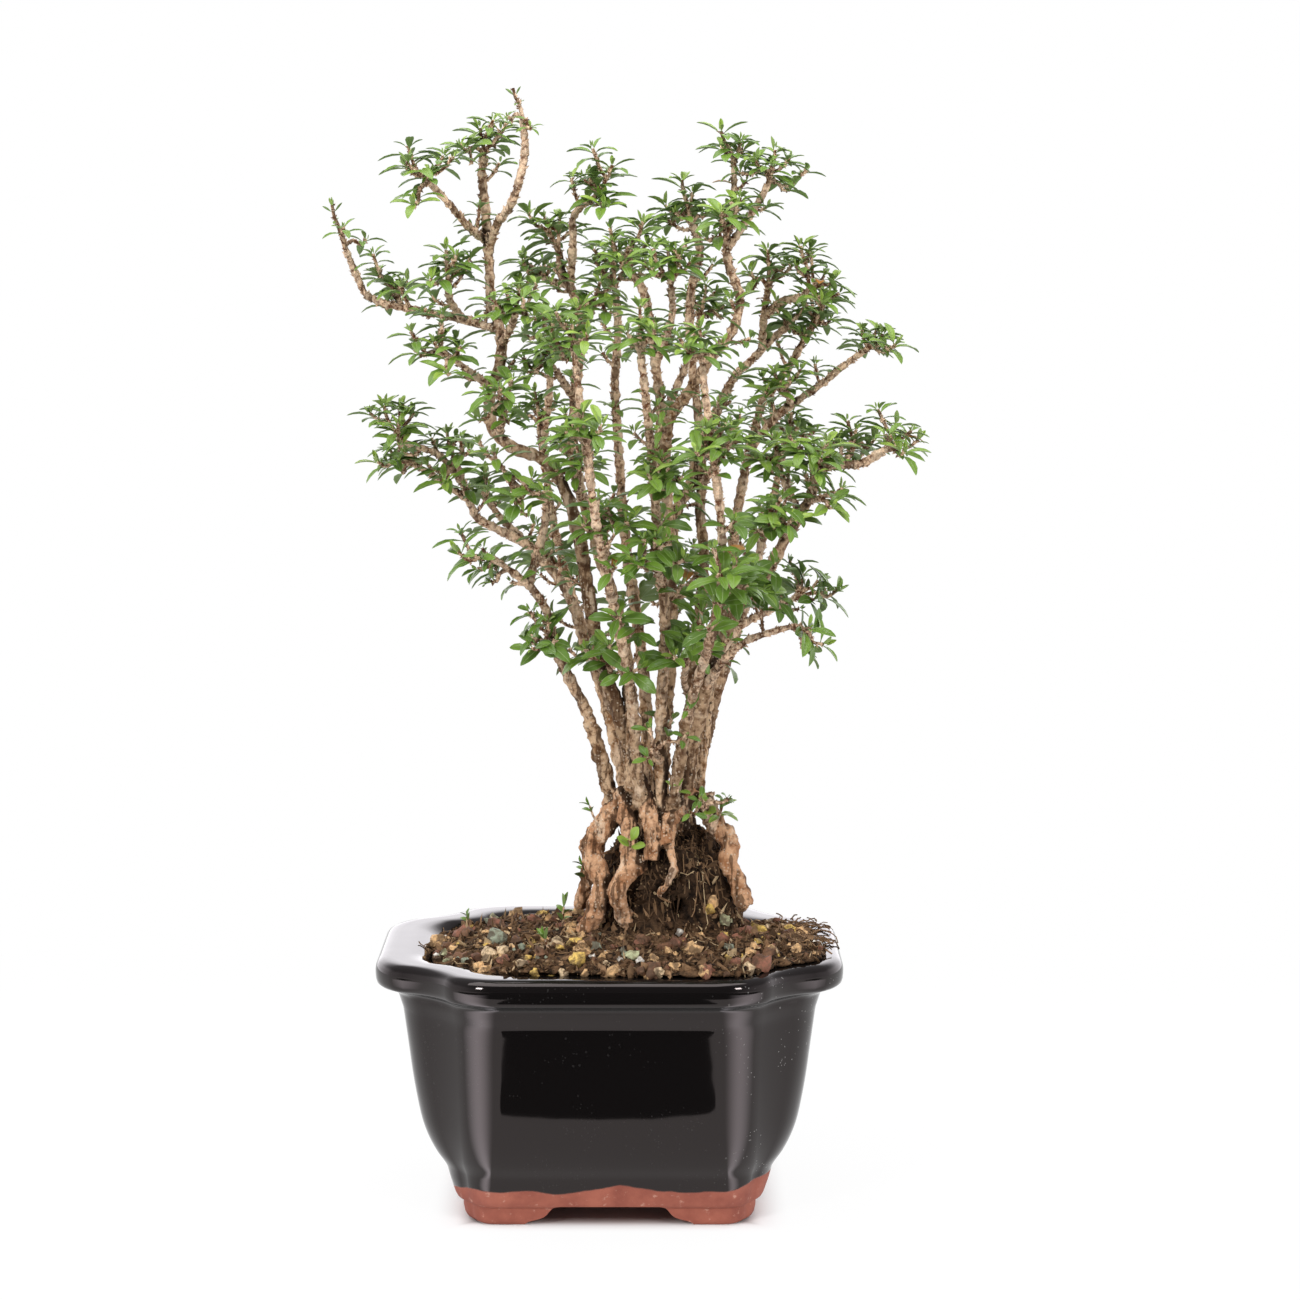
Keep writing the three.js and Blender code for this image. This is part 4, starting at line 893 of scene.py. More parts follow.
# %% Stems and branches: name, thickness at the start and at the end, drawn points, leafy tips
STEMS = [
    ("left_low", 4.8, 2.0,
     [(616, 812, 0), (602, 762, -3), (588, 715, -6), (570, 680, -10), (556, 650, -14), (549, 618, -18),
      (536, 593, -22), (510, 570, -26)],
     [(482, 548, -28), (458, 552, -34), (492, 582, -22)]),
    ("left_low_twig", 2.0, 1.6,
     [(560, 660, -13), (548, 645, -20)],
     [(548, 622, -26), (532, 648, -28)]),
    ("left_dark", 4.6, 2.0,
     [(640, 800, 10), (622, 725, 14), (600, 680, 18), (585, 645, 21), (575, 610, 24), (558, 578, 26),
      (532, 548, 28), (499, 530, 28), (478, 518, 26), (466, 490, 22), (455, 462, 18)],
     [(447, 432, 22), (470, 450, 10), (445, 484, 6)]),
    ("left_dark_low", 2.2, 1.6,
     [(470, 500, 24), (440, 480, 24), (414, 464, 24)],
     [(390, 450, 26), (402, 472, 32), (378, 462, 16)]),
    ("left_dark_high", 2.2, 1.6,
     [(464, 486, 21), (440, 456, 14), (404, 442, 10)],
     [(384, 406, 8), (413, 410, 16), (398, 424, -2)]),
    ("left_dark_back", 2.4, 1.6,
     [(532, 548, 28), (503, 520, 36), (487, 500, 42)],
     [(470, 492, 48), (487, 474, 50), (500, 502, 56)]),
    ("left_front", 2.6, 1.6,
     [(572, 522, -12), (545, 501, -18), (520, 489, -24), (508, 477, -28)],
     [(494, 452, -33), (527, 516, -38), (545, 492, -42)]),
    ("left_top", 5.2, 2.4,
     [(646, 812, -4), (632, 762, -6), (620, 715, -8), (606, 675, -9), (595, 635, -10), (588, 590, -11),
      (578, 532, -12), (564, 488, -12), (543, 460, -12), (512, 447, -12), (493, 428, -10), (489, 400, -8),
      (499, 368, -6), (501, 335, -4), (491, 300, -2), (489, 262, 0), (487, 235, 2), (485, 205, 5),
      (482, 175, 8), (484, 155, 8)],
     [(480, 128, 8), (460, 146, 0), (497, 140, 16)]),
    ("tall_spike", 2.8, 1.8,
     [(489, 252, 1), (497, 224, -6), (510, 206, -11), (519, 182, -14), (525, 150, -13), (523, 120, -12)],
     [(513, 88, -13), (531, 128, -18), (507, 116, -22)]),
    ("left_arm", 2.4, 1.6,
     [(487, 242, 2), (468, 226, -6), (448, 203, -12), (430, 183, -16)],
     [(407, 161, -20), (443, 156, -10), (414, 206, -26)]),
    ("far_left", 2.6, 1.8,
     [(499, 330, -4), (458, 318, 2), (420, 311, 8), (388, 304, 12), (368, 296, 14), (355, 272, 14),
      (345, 247, 12)],
     [(332, 205, 10), (366, 240, 20), (343, 228, 2)]),
    ("far_left_low", 2.0, 1.6,
     [(402, 307, 10), (394, 292, 16)],
     [(377, 273, 20), (407, 281, 24)]),
    ("far_left_inner", 2.2, 1.6,
     [(462, 319, 1), (450, 300, -8), (448, 285, -14)],
     [(446, 250, -18), (470, 258, -8), (430, 280, -22)]),
    ("left_shoulder", 2.4, 1.6,
     [(493, 388, -8), (470, 372, -14), (452, 358, -18)],
     [(434, 342, -22), (448, 374, -30), (414, 350, -16)]),
    ("left_inner", 2.4, 1.6,
     [(499, 435, -11), (503, 415, -24), (505, 402, -32)],
     [(512, 380, -38), (486, 392, -36), (478, 420, -30)]),
    ("left_shelf", 2.2, 1.6,
     [(501, 345, -4), (512, 325, -16), (515, 312, -24)],
     [(520, 290, -28), (498, 318, -34), (535, 318, -34)]),
    ("mid_left", 4.6, 2.4,
     [(632, 790, -8), (630, 700, -8), (625, 650, -7), (617, 610, -5), (607, 578, -3), (597, 548, 0),
      (586, 510, 3), (578, 480, 6), (573, 440, 10), (575, 400, 14), (580, 350, 17), (578, 305, 18),
      (563, 275, 18), (559, 252, 18)],
     [(560, 217, 18), (528, 213, 22), (545, 236, 30)]),
    ("mid_top", 2.4, 1.6,
     [(570, 290, 18), (573, 240, 10), (574, 216, 8), (597, 195, 6)],
     [(612, 165, 6), (589, 176, 14), (604, 208, -2)]),
    ("mid_low_front", 2.6, 1.6,
     [(607, 578, -3), (606, 552, -20), (604, 534, -34)],
     [(603, 510, -42), (628, 522, -46), (582, 524, -42)]),
    ("mid_side", 2.2, 1.6,
     [(584, 500, 4), (577, 488, -10), (575, 476, -18)],
     [(568, 440, -28), (590, 462, -30), (556, 470, -22)]),
    ("mid_up_front", 2.4, 1.6,
     [(575, 400, 14), (562, 380, 2), (552, 365, -6)],
     [(540, 345, -12), (560, 350, -22), (528, 372, -10)]),
    ("mid_up_inner", 2.2, 1.6,
     [(579, 335, 17), (590, 315, 8), (593, 305, 4)],
     [(600, 282, 0), (613, 312, -8), (578, 308, -12)]),
    ("upper_left_back", 2.2, 1.6,
     [(568, 285, 18), (548, 280, 28), (540, 275, 34)],
     [(525, 258, 38), (545, 262, 46), (520, 285, 34)]),
    ("centre_left", 4.2, 2.2,
     [(647, 805, 4), (647, 740, 8), (645, 690, 12), (637, 620, 18), (628, 560, 24), (622, 500, 30),
      (618, 440, 34), (615, 380, 36), (618, 330, 36), (615, 290, 34)],
     [(612, 244, 32), (598, 268, 40), (632, 262, 42)]),
    ("centre_front", 4.0, 2.0,
     [(661, 808, -6), (661, 740, -10), (662, 690, -14), (665, 629, -20), (661, 560, -27), (655, 500, -34),
      (650, 440, -40), (645, 390, -44), (641, 358, -46)],
     [(627, 332, -48), (655, 330, -52), (640, 306, -42)]),
    ("centre_front_low", 2.2, 1.6,
     [(663, 590, -24), (658, 572, -34), (654, 562, -40)],
     [(655, 538, -48), (636, 562, -50), (684, 560, -46)]),
    ("centre_front_mid", 2.2, 1.6,
     [(656, 505, -34), (662, 490, -42)],
     [(668, 468, -48), (648, 474, -54), (688, 490, -48)]),
    ("rugged", 4.0, 2.4,
     [(655, 800, 10), (668, 700, 12), (672, 620, 10), (670, 540, 6), (665, 470, 2), (660, 400, 0),
      (655, 360, -2), (650, 320, -4), (643, 290, -4), (630, 270, -2)],
     [(612, 242, -8), (643, 222, -4), (622, 262, -18)]),
    ("rugged_side", 2.6, 1.6,
     [(655, 365, -2), (672, 315, -10), (671, 285, -14)],
     [(668, 248, -16), (652, 268, -26), (690, 262, -20)]),
    ("centre_right", 4.4, 2.2,
     [(690, 800, 2), (692, 700, 4), (693, 663, 6), (702, 594, 8), (704, 560, 9), (700, 510, 12),
      (702, 478, 14), (700, 430, 16), (694, 380, 20), (690, 330, 24), (691, 290, 26), (700, 250, 24),
      (692, 225, 22)],
     [(682, 180, 18), (665, 205, 24), (707, 212, 30)]),
    ("diagonal", 3.8, 2.4,
     [(664, 460, 2), (669, 421, -8), (692, 387, -12), (715, 352, -16), (730, 335, -16), (740, 300, -12),
      (728, 262, -8), (726, 242, -6)],
     [(705, 238, -10), (738, 205, -14), (722, 212, -22)]),
    ("knot_right", 2.2, 1.6,
     [(728, 250, -7), (746, 222, -4), (760, 200, -2), (769, 182, 0)],
     [(775, 150, 2), (788, 190, 6), (755, 160, -6)]),
    ("knot_up", 2.0, 1.4,
     [(727, 240, -6), (733, 205, -2), (734, 165, 0)],
     [(721, 131, 0), (742, 150, 6)]),
    ("inner_right", 3.6, 2.0,
     [(671, 550, 8), (673, 518, 10), (692, 484, 14), (700, 452, 18), (711, 423, 22), (722, 401, 26),
      (735, 376, 30), (750, 362, 32), (770, 341, 34), (786, 328, 36)],
     [(803, 308, 38), (776, 308, 44), (795, 330, 46)]),
    ("shelf_up", 2.4, 1.6,
     [(762, 350, 33), (764, 315, 26), (768, 290, 22)],
     [(768, 250, 20), (785, 262, 28), (750, 272, 14)]),
    ("shelf_right", 2.4, 1.6,
     [(764, 318, 27), (780, 302, 20), (800, 297, 16), (808, 290, 12)],
     [(801, 246, 12), (834, 280, 10), (822, 304, 2)]),
    ("right_inner_front", 2.4, 1.6,
     [(703, 485, 13), (718, 462, -2), (725, 452, -10)],
     [(736, 440, -18), (740, 414, -10), (715, 428, -20)]),
    ("right_three", 4.2, 2.0,
     [(697, 800, 8), (705, 720, 12), (716, 650, 18), (727, 590, 24), (735, 530, 30), (745, 470, 36),
      (757, 420, 40), (765, 396, 42), (779, 380, 42), (791, 364, 42), (803, 342, 42), (812, 328, 40)],
     [(826, 296, 38), (830, 320, 46), (812, 300, 50)]),
    ("far_right", 2.8, 1.8,
     [(749, 450, 37), (779, 414, 30), (797, 401, 28), (820, 385, 26), (843, 366, 24), (864, 351, 22)],
     [(883, 334, 20), (870, 338, 30), (896, 344, 12)]),
    ("far_right_in", 2.2, 1.6,
     [(792, 404, 29), (786, 390, 20)],
     [(775, 374, 14), (800, 370, 12), (765, 392, 8)]),
    ("main_right", 5.4, 2.4,
     [(684, 810, -2), (688, 762, -4), (700, 709, -8), (711, 663, -12), (725, 634, -15), (743, 599, -18),
      (766, 574, -20), (785, 540, -20), (800, 515, -20), (813, 490, -18), (817, 470, -16), (835, 465, -14),
      (860, 464, -12), (882, 452, -10)],
     [(918, 440, -8), (896, 424, -2), (904, 452, -20)]),
    ("main_right_mid", 2.2, 1.6,
     [(845, 465, -13), (850, 452, -6)],
     [(856, 430, -2), (874, 440, 8), (838, 440, 2)]),
    ("main_right_up", 2.2, 1.6,
     [(817, 472, -16), (812, 460, -24)],
     [(800, 446, -28), (828, 442, -30), (815, 474, -36)]),
    ("main_right_down", 2.0, 1.6,
     [(808, 500, -19), (820, 498, -28)],
     [(832, 508, -34), (842, 488, -28)]),
    ("main_right_in", 2.2, 1.6,
     [(787, 536, -20), (776, 522, -30)],
     [(770, 505, -36), (757, 530, -40), (792, 520, -42)]),
    ("main_right_tall", 2.6, 1.6,
     [(800, 515, -20), (786, 485, -12), (778, 465, -8)],
     [(775, 442, -6), (757, 458, -14), (790, 440, 4)]),
    ("right_low", 2.8, 1.6,
     [(705, 690, -10), (722, 662, -20), (745, 642, -26), (768, 633, -30), (790, 627, -32)],
     [(824, 644, -34), (806, 652, -26), (808, 628, -40)]),
    ("right_low_back", 2.8, 1.6,
     [(712, 665, -12), (741, 626, -4), (767, 612, 2), (793, 599, 6)],
     [(818, 580, 8), (838, 590, 2), (803, 574, 14)]),
    ("right_low_inner", 2.2, 1.6,
     [(745, 596, -18), (745, 584, -28)],
     [(740, 568, -34), (762, 590, -36), (722, 598, -34)]),
    ("low_right", 2.2, 1.6,
     [(691, 702, 4), (684, 682, -8), (686, 665, -16)],
     [(694, 640, -24), (702, 612, -22), (674, 656, -28)]),
    ("low_middle", 2.0, 1.4,
     [(661, 765, -9), (655, 750, -17)],
     [(650, 728, -24), (648, 758, -26), (686, 735, -20)]),
    ("low_left", 2.0, 1.4,
     [(608, 682, -9), (610, 668, -18)],
     [(610, 645, -26), (640, 668, -28), (585, 650, -24)]),
    ("foot_shoot", 1.8, 1.4,
     [(703, 815, -4), (704, 806, -10)],
     [(700, 798, -18), (728, 798, -8), (690, 812, -18)]),
    ("back_left", 4.2, 2.0,
     [(630, 805, 16), (610, 720, 26), (590, 650, 36), (570, 590, 46), (555, 530, 54), (545, 470, 60),
      (540, 425, 64)],
     [(535, 392, 68), (556, 402, 74), (518, 412, 70)]),
    ("back_left_low", 2.2, 1.6,
     [(572, 595, 45), (552, 572, 56)],
     [(535, 558, 62), (552, 545, 70), (570, 560, 70)]),
    ("back_left_high", 2.4, 1.6,
     [(543, 450, 62), (550, 380, 60), (548, 345, 58)],
     [(542, 312, 58), (564, 318, 66), (524, 334, 66)]),
    ("back_centre", 4.2, 2.0,
     [(662, 805, 20), (665, 720, 30), (668, 640, 42), (660, 560, 54), (655, 480, 62), (660, 410, 68),
      (655, 360, 68)],
     [(650, 322, 68), (674, 335, 74), (632, 345, 74)]),
    ("back_centre_low", 2.2, 1.6,
     [(668, 640, 42), (672, 605, 56)],
     [(668, 575, 64), (690, 590, 64), (650, 600, 68)]),
    ("back_centre_high", 2.4, 1.6,
     [(659, 425, 67), (688, 360, 58), (700, 320, 52)],
     [(706, 284, 50), (690, 300, 60), (724, 305, 56)]),
    ("back_right", 4.2, 2.0,
     [(690, 805, 18), (715, 700, 28), (740, 620, 40), (760, 550, 52), (775, 490, 60), (785, 445, 62)],
     [(792, 412, 62), (770, 410, 70), (806, 430, 68)]),
    ("back_right_low", 2.2, 1.6,
     [(742, 612, 41), (760, 592, 54)],
     [(766, 572, 62), (782, 596, 56), (748, 580, 64)]),
    ("front_left", 3.8, 2.0,
     [(640, 805, -8), (632, 700, -20), (618, 625, -36), (602, 555, -50), (592, 495, -57), (587, 448, -60)],
     [(582, 412, -62), (602, 425, -70), (565, 432, -64)]),
    ("front_left_high", 2.4, 1.6,
     [(591, 478, -58), (578, 385, -52), (574, 352, -46)],
     [(566, 322, -42), (588, 335, -54), (550, 345, -42)]),
    ("front_right", 3.8, 2.0,
     [(672, 805, -8), (690, 705, -22), (710, 640, -38), (722, 570, -50), (720, 510, -57), (714, 462, -60)],
     [(708, 430, -60), (732, 440, -62), (696, 452, -70)]),
    ("front_right_high", 2.4, 1.6,
     [(719, 492, -57), (706, 400, -52), (702, 362, -46)],
     [(700, 328, -42), (686, 350, -54), (722, 344, -42)]),
    ("front_right_low", 2.2, 1.6,
     [(716, 610, -44), (728, 590, -54)],
     [(734, 566, -60), (748, 585, -54), (718, 574, -64)]),
]
print(len(ROOTS), "roots,", len(STEMS), "stems and branches")

# %% Middle lines
THICK = 3.2  # a limb at least this thick at its start stands in the stump
LINE_STEP = 0.9


def nearest_on(lines, place):
    """The nearest point to a place on the lines drawn so far."""
    best, distance = place, math.inf
    for line in lines:
        for start, end in zip(line, line[1:]):
            foot, share = geometry.intersect_point_line(place, start, end)
            foot = start.lerp(end, clamp(share))
            if (foot - place).length < distance:
                best, distance = foot, (foot - place).length
    return best


root_lines = [smooth_line([drawn(*point) for point in points], LINE_STEP) for *_, points in ROOTS]
stem_lines = []
for _, thickness, _, points, _ in STEMS:
    knots = [drawn(*point) for point in points]
    if thickness < THICK:
        knots[0] = nearest_on(stem_lines + root_lines, knots[0])
    stem_lines.append(smooth_line(knots, LINE_STEP))
print("mm of stems:",
      round(sum((b - a).length for line in stem_lines for a, b in zip(line, line[1:]))))

# %% [markdown]
# ## Stems with knots
# The lower stems are smooth, grey-tan and faintly knobbly. Higher up every pair of fallen leaves
# has left a ridge round the twig, so the radius swells at short steps there. A low noise makes
# each limb uneven. Three numbers are kept at each point for the finish: how old the bark is there,
# from twig to stem, how far the point stands out or in, and the limb's own tone.

# %% Branches
KNOT_STEP = {"twig": 2.4, "stem": 7.5}
KNOT_RISE = {"twig": 0.36, "stem": 0.14}
KNOT_HALF = 0.8
OLD_RADIUS, YOUNG_RADIUS = 2.2, 0.95
LUMPS = [(0.16, 0.13), (0.45, 0.11), (1.1, 0.10)]  # waves per mm and rise as a share of the radius
LUMPINESS = 1.6
STEM_SIDES, TWIG_SIDES = 12, 8
STEM_SEED, ROOT_SEED, STUB_SEED = 100, 300, 400  # to which each limb's own number is added


def bark_age(radius):
    """0 on a twig, 1 on an old stem."""
    return clamp((radius - YOUNG_RADIUS) / (OLD_RADIUS - YOUNG_RADIUS))


def limb_tone(seed):
    """How dark a limb's bark is, from 0 to 1."""
    return random.Random(seed * 3 + 1).random()


def limb(gathered, line, start, end, sides, seed):
    """A knobbly tube along a line, its radius going from start to end."""
    runs = [0]
    for a, b in zip(line, line[1:]):
        runs.append(runs[-1] + (b - a).length)
    total = runs[-1]
    rng = random.Random(seed)
    knots, run = [], rng.uniform(0, 3)
    while run < total:
        age = bark_age(start + (end - start) * run / total)
        step = KNOT_STEP["twig"] * (1 - age) + KNOT_STEP["stem"] * age
        rise = (KNOT_RISE["twig"] * (1 - age) + KNOT_RISE["stem"] * age) * rng.uniform(0.5, 1.3)
        knots.append((run, rise))
        run += step * rng.uniform(0.6, 1.4)

    rises = []
    plain = [start + (end - start) * run / total for run in runs]
    swell = [1 + sum(rise * math.exp(-((run - at) / KNOT_HALF) ** 2) for at, rise in knots
                     if abs(run - at) < 3 * KNOT_HALF) for run in runs]

    def radius_at(i, place, outward):
        spot = place + outward * plain[i]
        uneven = sum(rise * noise.noise(spot * waves) for waves, rise in LUMPS)
        rises.append(swell[i] - 1 + LUMPINESS * uneven)
        return plain[i] * (1 + rises[-1])

    ages = [bark_age(radius) for radius in plain for _ in range(sides)]
    points, faces = skin(tube_rings(line, radius_at, sides))
    gathered.add(points, faces, age=ages, rise=rises, tone=limb_tone(seed))


branches = Gathered()
for number, (_, start, end, *_) in enumerate(STEMS):
    sides = STEM_SIDES if start > THICK else TWIG_SIDES
    limb(branches, stem_lines[number], start / 2, end / 2, sides, STEM_SEED + number)
stems = branches.piece("stems")
face_outwards(stems, 70)

# %% [markdown]
# ## Stump and roots
# Where stems and roots meet the wood has grown together, with smooth saddles between the limbs.
# Overlapping tubes would show hard creases there, so the roots, the crown and the lowest part of
# each stem are remeshed into one skin and smoothed. Furrows that run along the wood and small pits
# are then pressed into it. Each point takes the tone of the limb that it lies nearest to, and an
# age above 1 marks the roots.

# %% Rough stump
CROWN_MIDDLE = Vector((17, 11, 0))
CROWN = [  # height, half width and half depth
    (104, 6, 6), (109, 9, 10), (115, 11, 12.5), (121, 11, 13), (126, 9.5, 11), (130, 5, 6)]
CROWN_SIDES, ROOT_SIDES = 28, 14
STUB_LENGTH = 34
STUB_SWELL, ROOT_SWELL = (1.08, 0.92), 1.12

rough = Gathered()
rings = []
for height, half_width, half_depth in CROWN:
    ring = []
    for k in range(CROWN_SIDES):
        turn = TAU * k / CROWN_SIDES
        outward = Vector((math.cos(turn), math.sin(turn), 0))
        swell = 0.9 + 0.28 * noise.noise(Vector((outward.x * 2.2, outward.y * 2.2, height * 0.05)))
        off = Vector((outward.x * half_width * swell, outward.y * half_depth * swell, height))
        ring.append(CROWN_MIDDLE + off)
    rings.append(ring)
rough.add(*skin(rings), age=1.0, rise=0.0, tone=0.5)
for number, (_, start, end, _) in enumerate(ROOTS):
    limb(rough, root_lines[number], start / 2 * ROOT_SWELL, end / 2 * ROOT_SWELL, ROOT_SIDES,
         ROOT_SEED + number)
for number, (_, start, *_) in enumerate(STEMS):
    if start > THICK:
        line = stem_lines[number][:round(STUB_LENGTH / LINE_STEP)]
        limb(rough, line, start / 2 * STUB_SWELL[0], start / 2 * STUB_SWELL[1], STEM_SIDES,
             STUB_SEED + number)
stump = rough.piece("stump")
face_outwards(stump, 180)

# %% One skin
STUMP_VOXEL = 0.6
ROOTS_BELOW, STEMS_ABOVE = 112, 124  # heights between which smooth roots change to furrowed stems
PRESSED_SHARE = 0.32  # of the relief, kept as a number for the finish
ROOT_AGE, CROWN_AGE = 1.5, 1.0


def add_one_skin(piece, voxel):
    """Lets a remesher make one closed skin of a piece, with faces of about a voxel in mm."""
    remesh = piece.modifiers.new("one_skin", "REMESH")
    remesh.mode = "VOXEL"
    remesh.voxel_size = voxel * MM


add_one_skin(stump, STUMP_VOXEL)
saddles = stump.modifiers.new("saddles", "SMOOTH")
saddles.factor = 0.5
saddles.iterations = 2
freeze(stump)


def press_relief(piece, rise_at, kept_share):
    """Moves each point along its normal by rise_at(place), in mm, and keeps a share of it."""
    mesh = piece.data
    normals = [Vector(normal.vector) for normal in mesh.vertex_normals]
    rises = []
    for vertex, normal in zip(mesh.vertices, normals):
        rises.append(rise_at(from_frame(vertex.co)))
        vertex.co += normal * (rises[-1] * MM)
    keep(mesh, "rise", [rise * kept_share for rise in rises])
    mesh.update()


def furrows(place):
    """The rise of the wood at a place: furrows along it, and small pits above the roots."""
    along = Vector((place.x * 0.55, place.y * 0.55, place.z * 0.15))
    coarse = 0.6 * noise.noise(along) + 0.35 * noise.noise(place * 0.45)
    fine = (0.5 * noise.noise(along * 2.2) + 0.32 * noise.noise(place * 1.2)
            + 0.2 * noise.noise(place * 2.6) - 1.3 * max(0, noise.noise(place * 0.62) - 0.3))
    return coarse + fine * (0.42 + 0.58 * ease(place.z, ROOTS_BELOW, STEMS_ABOVE))


press_relief(stump, furrows, PRESSED_SHARE)
limb_spots = [(place, seed + n) for seed, lines in ((ROOT_SEED, root_lines), (STEM_SEED, stem_lines))
              for n, line in enumerate(lines) for place in line[::2]]
nearby = KDTree(len(limb_spots))
for number, (place, _) in enumerate(limb_spots):
    nearby.insert(place, number)
nearby.balance()
tones, ages = [], []
for vertex in stump.data.vertices:
    seed = limb_spots[nearby.find(from_frame(vertex.co))[1]][1]
    tones.append(limb_tone(seed))
    ages.append(ROOT_AGE if seed >= ROOT_SEED else CROWN_AGE)
keep(stump.data, "tone", tones)
keep(stump.data, "age", ages)
stump.data.shade_smooth()

# %% Where limbs crowd, for painted shade
LOOK_IN, LOOK_OUT = 0.6, 2.4  # mm along a point's normal to its own and to the other limb
CROWDED = 2.6


def keep_crowding(piece):
    """Keeps at each point how closely another limb faces it, from 0 to 1, for painted shade there."""
    marks = []
    for vertex, normal in zip(piece.data.vertices, piece.data.vertex_normals):
        place, outward = from_frame(vertex.co), Vector(normal.vector)
        _, own, depth = nearby.find(place - outward * LOOK_IN)
        _, other, gap = nearby.find(place + outward * LOOK_OUT)
        facing = limb_spots[own][1] != limb_spots[other][1]
        marks.append(clamp((depth + LOOK_IN + LOOK_OUT - gap) / CROWDED) if facing else 0)
    keep(piece.data, "crowd", marks)
    print(piece.name, "crowded share:", round(sum(marks) / len(marks), 3))


keep_crowding(stems)
keep_crowding(stump)

# %% [markdown]
# ## Bark
# The bark is thin: light tan or weathered grey-brown on the stems, redder on the roots, browner on
# the twigs. Its crests are painted pale as a painted highlight, the hollows between them are painted
# dark as painted shade, small holes and flakes are scattered over it, and shade is painted dark where
# limbs stand close together. The kept numbers give the age, the limb's tone, the height of each point
# and how closely another limb faces it.

# %% Bark finish
HOLE_DEPTH, CRACK_DEPTH = 0.8, 0.468
bark, tree, shader = new_material("bark", Roughness=0.86, Specular_IOR_Level=0.2)
age, rise, limb_shade, crowd = (
    kept_number(tree, label) for label in ("age", "rise", "tone", "crowd"))
pale = drifting(tree, (0.68, 0.475, 0.30), (0.30, 0.155, 0.068), 300.0, 0.54, 0.09)
worn = drifting(tree, (0.38, 0.25, 0.145), (0.105, 0.052, 0.024), 300.0, 0.5, 0.10)
root_tone = drifting(tree, (0.66, 0.39, 0.225), (0.33, 0.145, 0.062), 220.0, 0.54, 0.12)
twig_tone = drifting(tree, (0.78, 0.55, 0.37), (0.140, 0.056, 0.024), 620.0, 0.5, 0.08)
stem_tone = mix_colours(tree, ramp(tree, limb_shade, 0.15, 0.85, 0.0, 0.92), pale, worn)
tone = mix_colours(tree, ramp(tree, age, 0.1, 0.9), twig_tone, stem_tone)
tone = mix_colours(tree, ramp(tree, age, 1.0, 1.5), tone, root_tone)
peeled = ramp(tree, noise_at(tree, 190.0, 3.0, 0.6, (1, 1, 0.22)), 0.56, 0.62)
cracked = ramp(tree, noise_at(tree, 330.0, 3.0, 0.6, (1, 1, 0.16)), 0.53, 0.59)
on_stems = times(tree, ramp(tree, age, 0.4, 0.9), ramp(tree, age, 1.05, 1.4, 1.0, 0.0))
holes = times(tree, on_stems, speckled(tree, 330.0, 0.19, 60.0, 0.5))
tone = layered(tree, tone, [
    (kept_number(tree, "shade"), 0.6, (0.72, 0.53, 0.38)),  # leaf scars
    (peeled, 0.55, (0.80, 0.62, 0.45)),
    (cracked, 0.78, (0.085, 0.040, 0.018)),
    (patches(tree, 600.0, 0.59, 0.05), 0.6, (0.080, 0.036, 0.016)),
    (ramp(tree, rise, 0.08, 0.34), 0.45, (0.80, 0.61, 0.43)),  # painted highlight on the crests
    (ramp(tree, rise, -0.22, -0.05, 1.0, 0.0), 0.9, (0.045, 0.020, 0.008)),  # painted shade in the hollows
    # painted shade where another limb stands close
    (ramp(tree, crowd, 0.04, 0.65), 0.94, (0.034, 0.016, 0.007)),
    (holes, 0.85, (0.035, 0.018, 0.010)),
    (speckled(tree, 950.0, 0.34, 200.0, 0.55), 0.5, (0.66, 0.54, 0.41)),  # flakes
])
put(tree, shader.inputs["Base Color"], tone)
sunk = plus(tree, times(tree, holes, HOLE_DEPTH), times(tree, cracked, CRACK_DEPTH))
bark_height = minus(tree, fine_relief(tree, 700.0, 2400.0, 0.5), sunk)
add_bump(tree, shader, bark_height, 0.8, 0.0007)
finish_piece(stems, bark, ["wood"])
finish_piece(stump, bark, ["wood"])

# %% [markdown]
# ## A tree that grows on points
# Leaves, leaf scars, sprouts and the larger stones are small shapes repeated many times. One tree
# of geometry nodes serves them all: its input mesh is a plan, with a point for every shape and an
# edge for every bit of twig. Each point keeps the direction the shape grows in, the side that looks
# up, its size, which form of it stands there, and a shade for its colour.


# %% Tools for trees of geometry nodes
def named(tree, name, kind):
    """A named value kept at the points."""
    made = node(tree, "GeometryNodeInputNamedAttribute", {"data_type": kind}, Name=name)
    return made.outputs["Attribute"]


def new_growth(name, inputs):
    """An empty tree of geometry nodes with named inputs."""
    tree = bpy.data.node_groups.new(name, "GeometryNodeTree")
    tree.interface.new_socket("Geometry", in_out="INPUT", socket_type="NodeSocketGeometry")
    for label, kind in inputs:
        tree.interface.new_socket(label, in_out="INPUT", socket_type=f"NodeSocket{kind}")
    tree.interface.new_socket("Geometry", in_out="OUTPUT", socket_type="NodeSocketGeometry")
    return tree, tree.nodes.new("NodeGroupInput").outputs, tree.nodes.new("NodeGroupOutput").inputs


def with_finish(tree, shapes, finish):
    """Shapes with their material."""
    return node(tree, "GeometryNodeSetMaterial", Geometry=shapes, Material=finish).outputs[0]


def realized(tree, instances, finish):
    """Instances made real, with their finish."""
    real = node(tree, "GeometryNodeRealizeInstances", Geometry=instances).outputs[0]
    return with_finish(tree, real, finish)


def forms_of(tree, collection):
    """The shapes of a collection, to be picked by number."""
    return node(tree, "GeometryNodeCollectionInfo", Collection=collection, Separate_Children=True,
                Reset_Children=True).outputs[0]


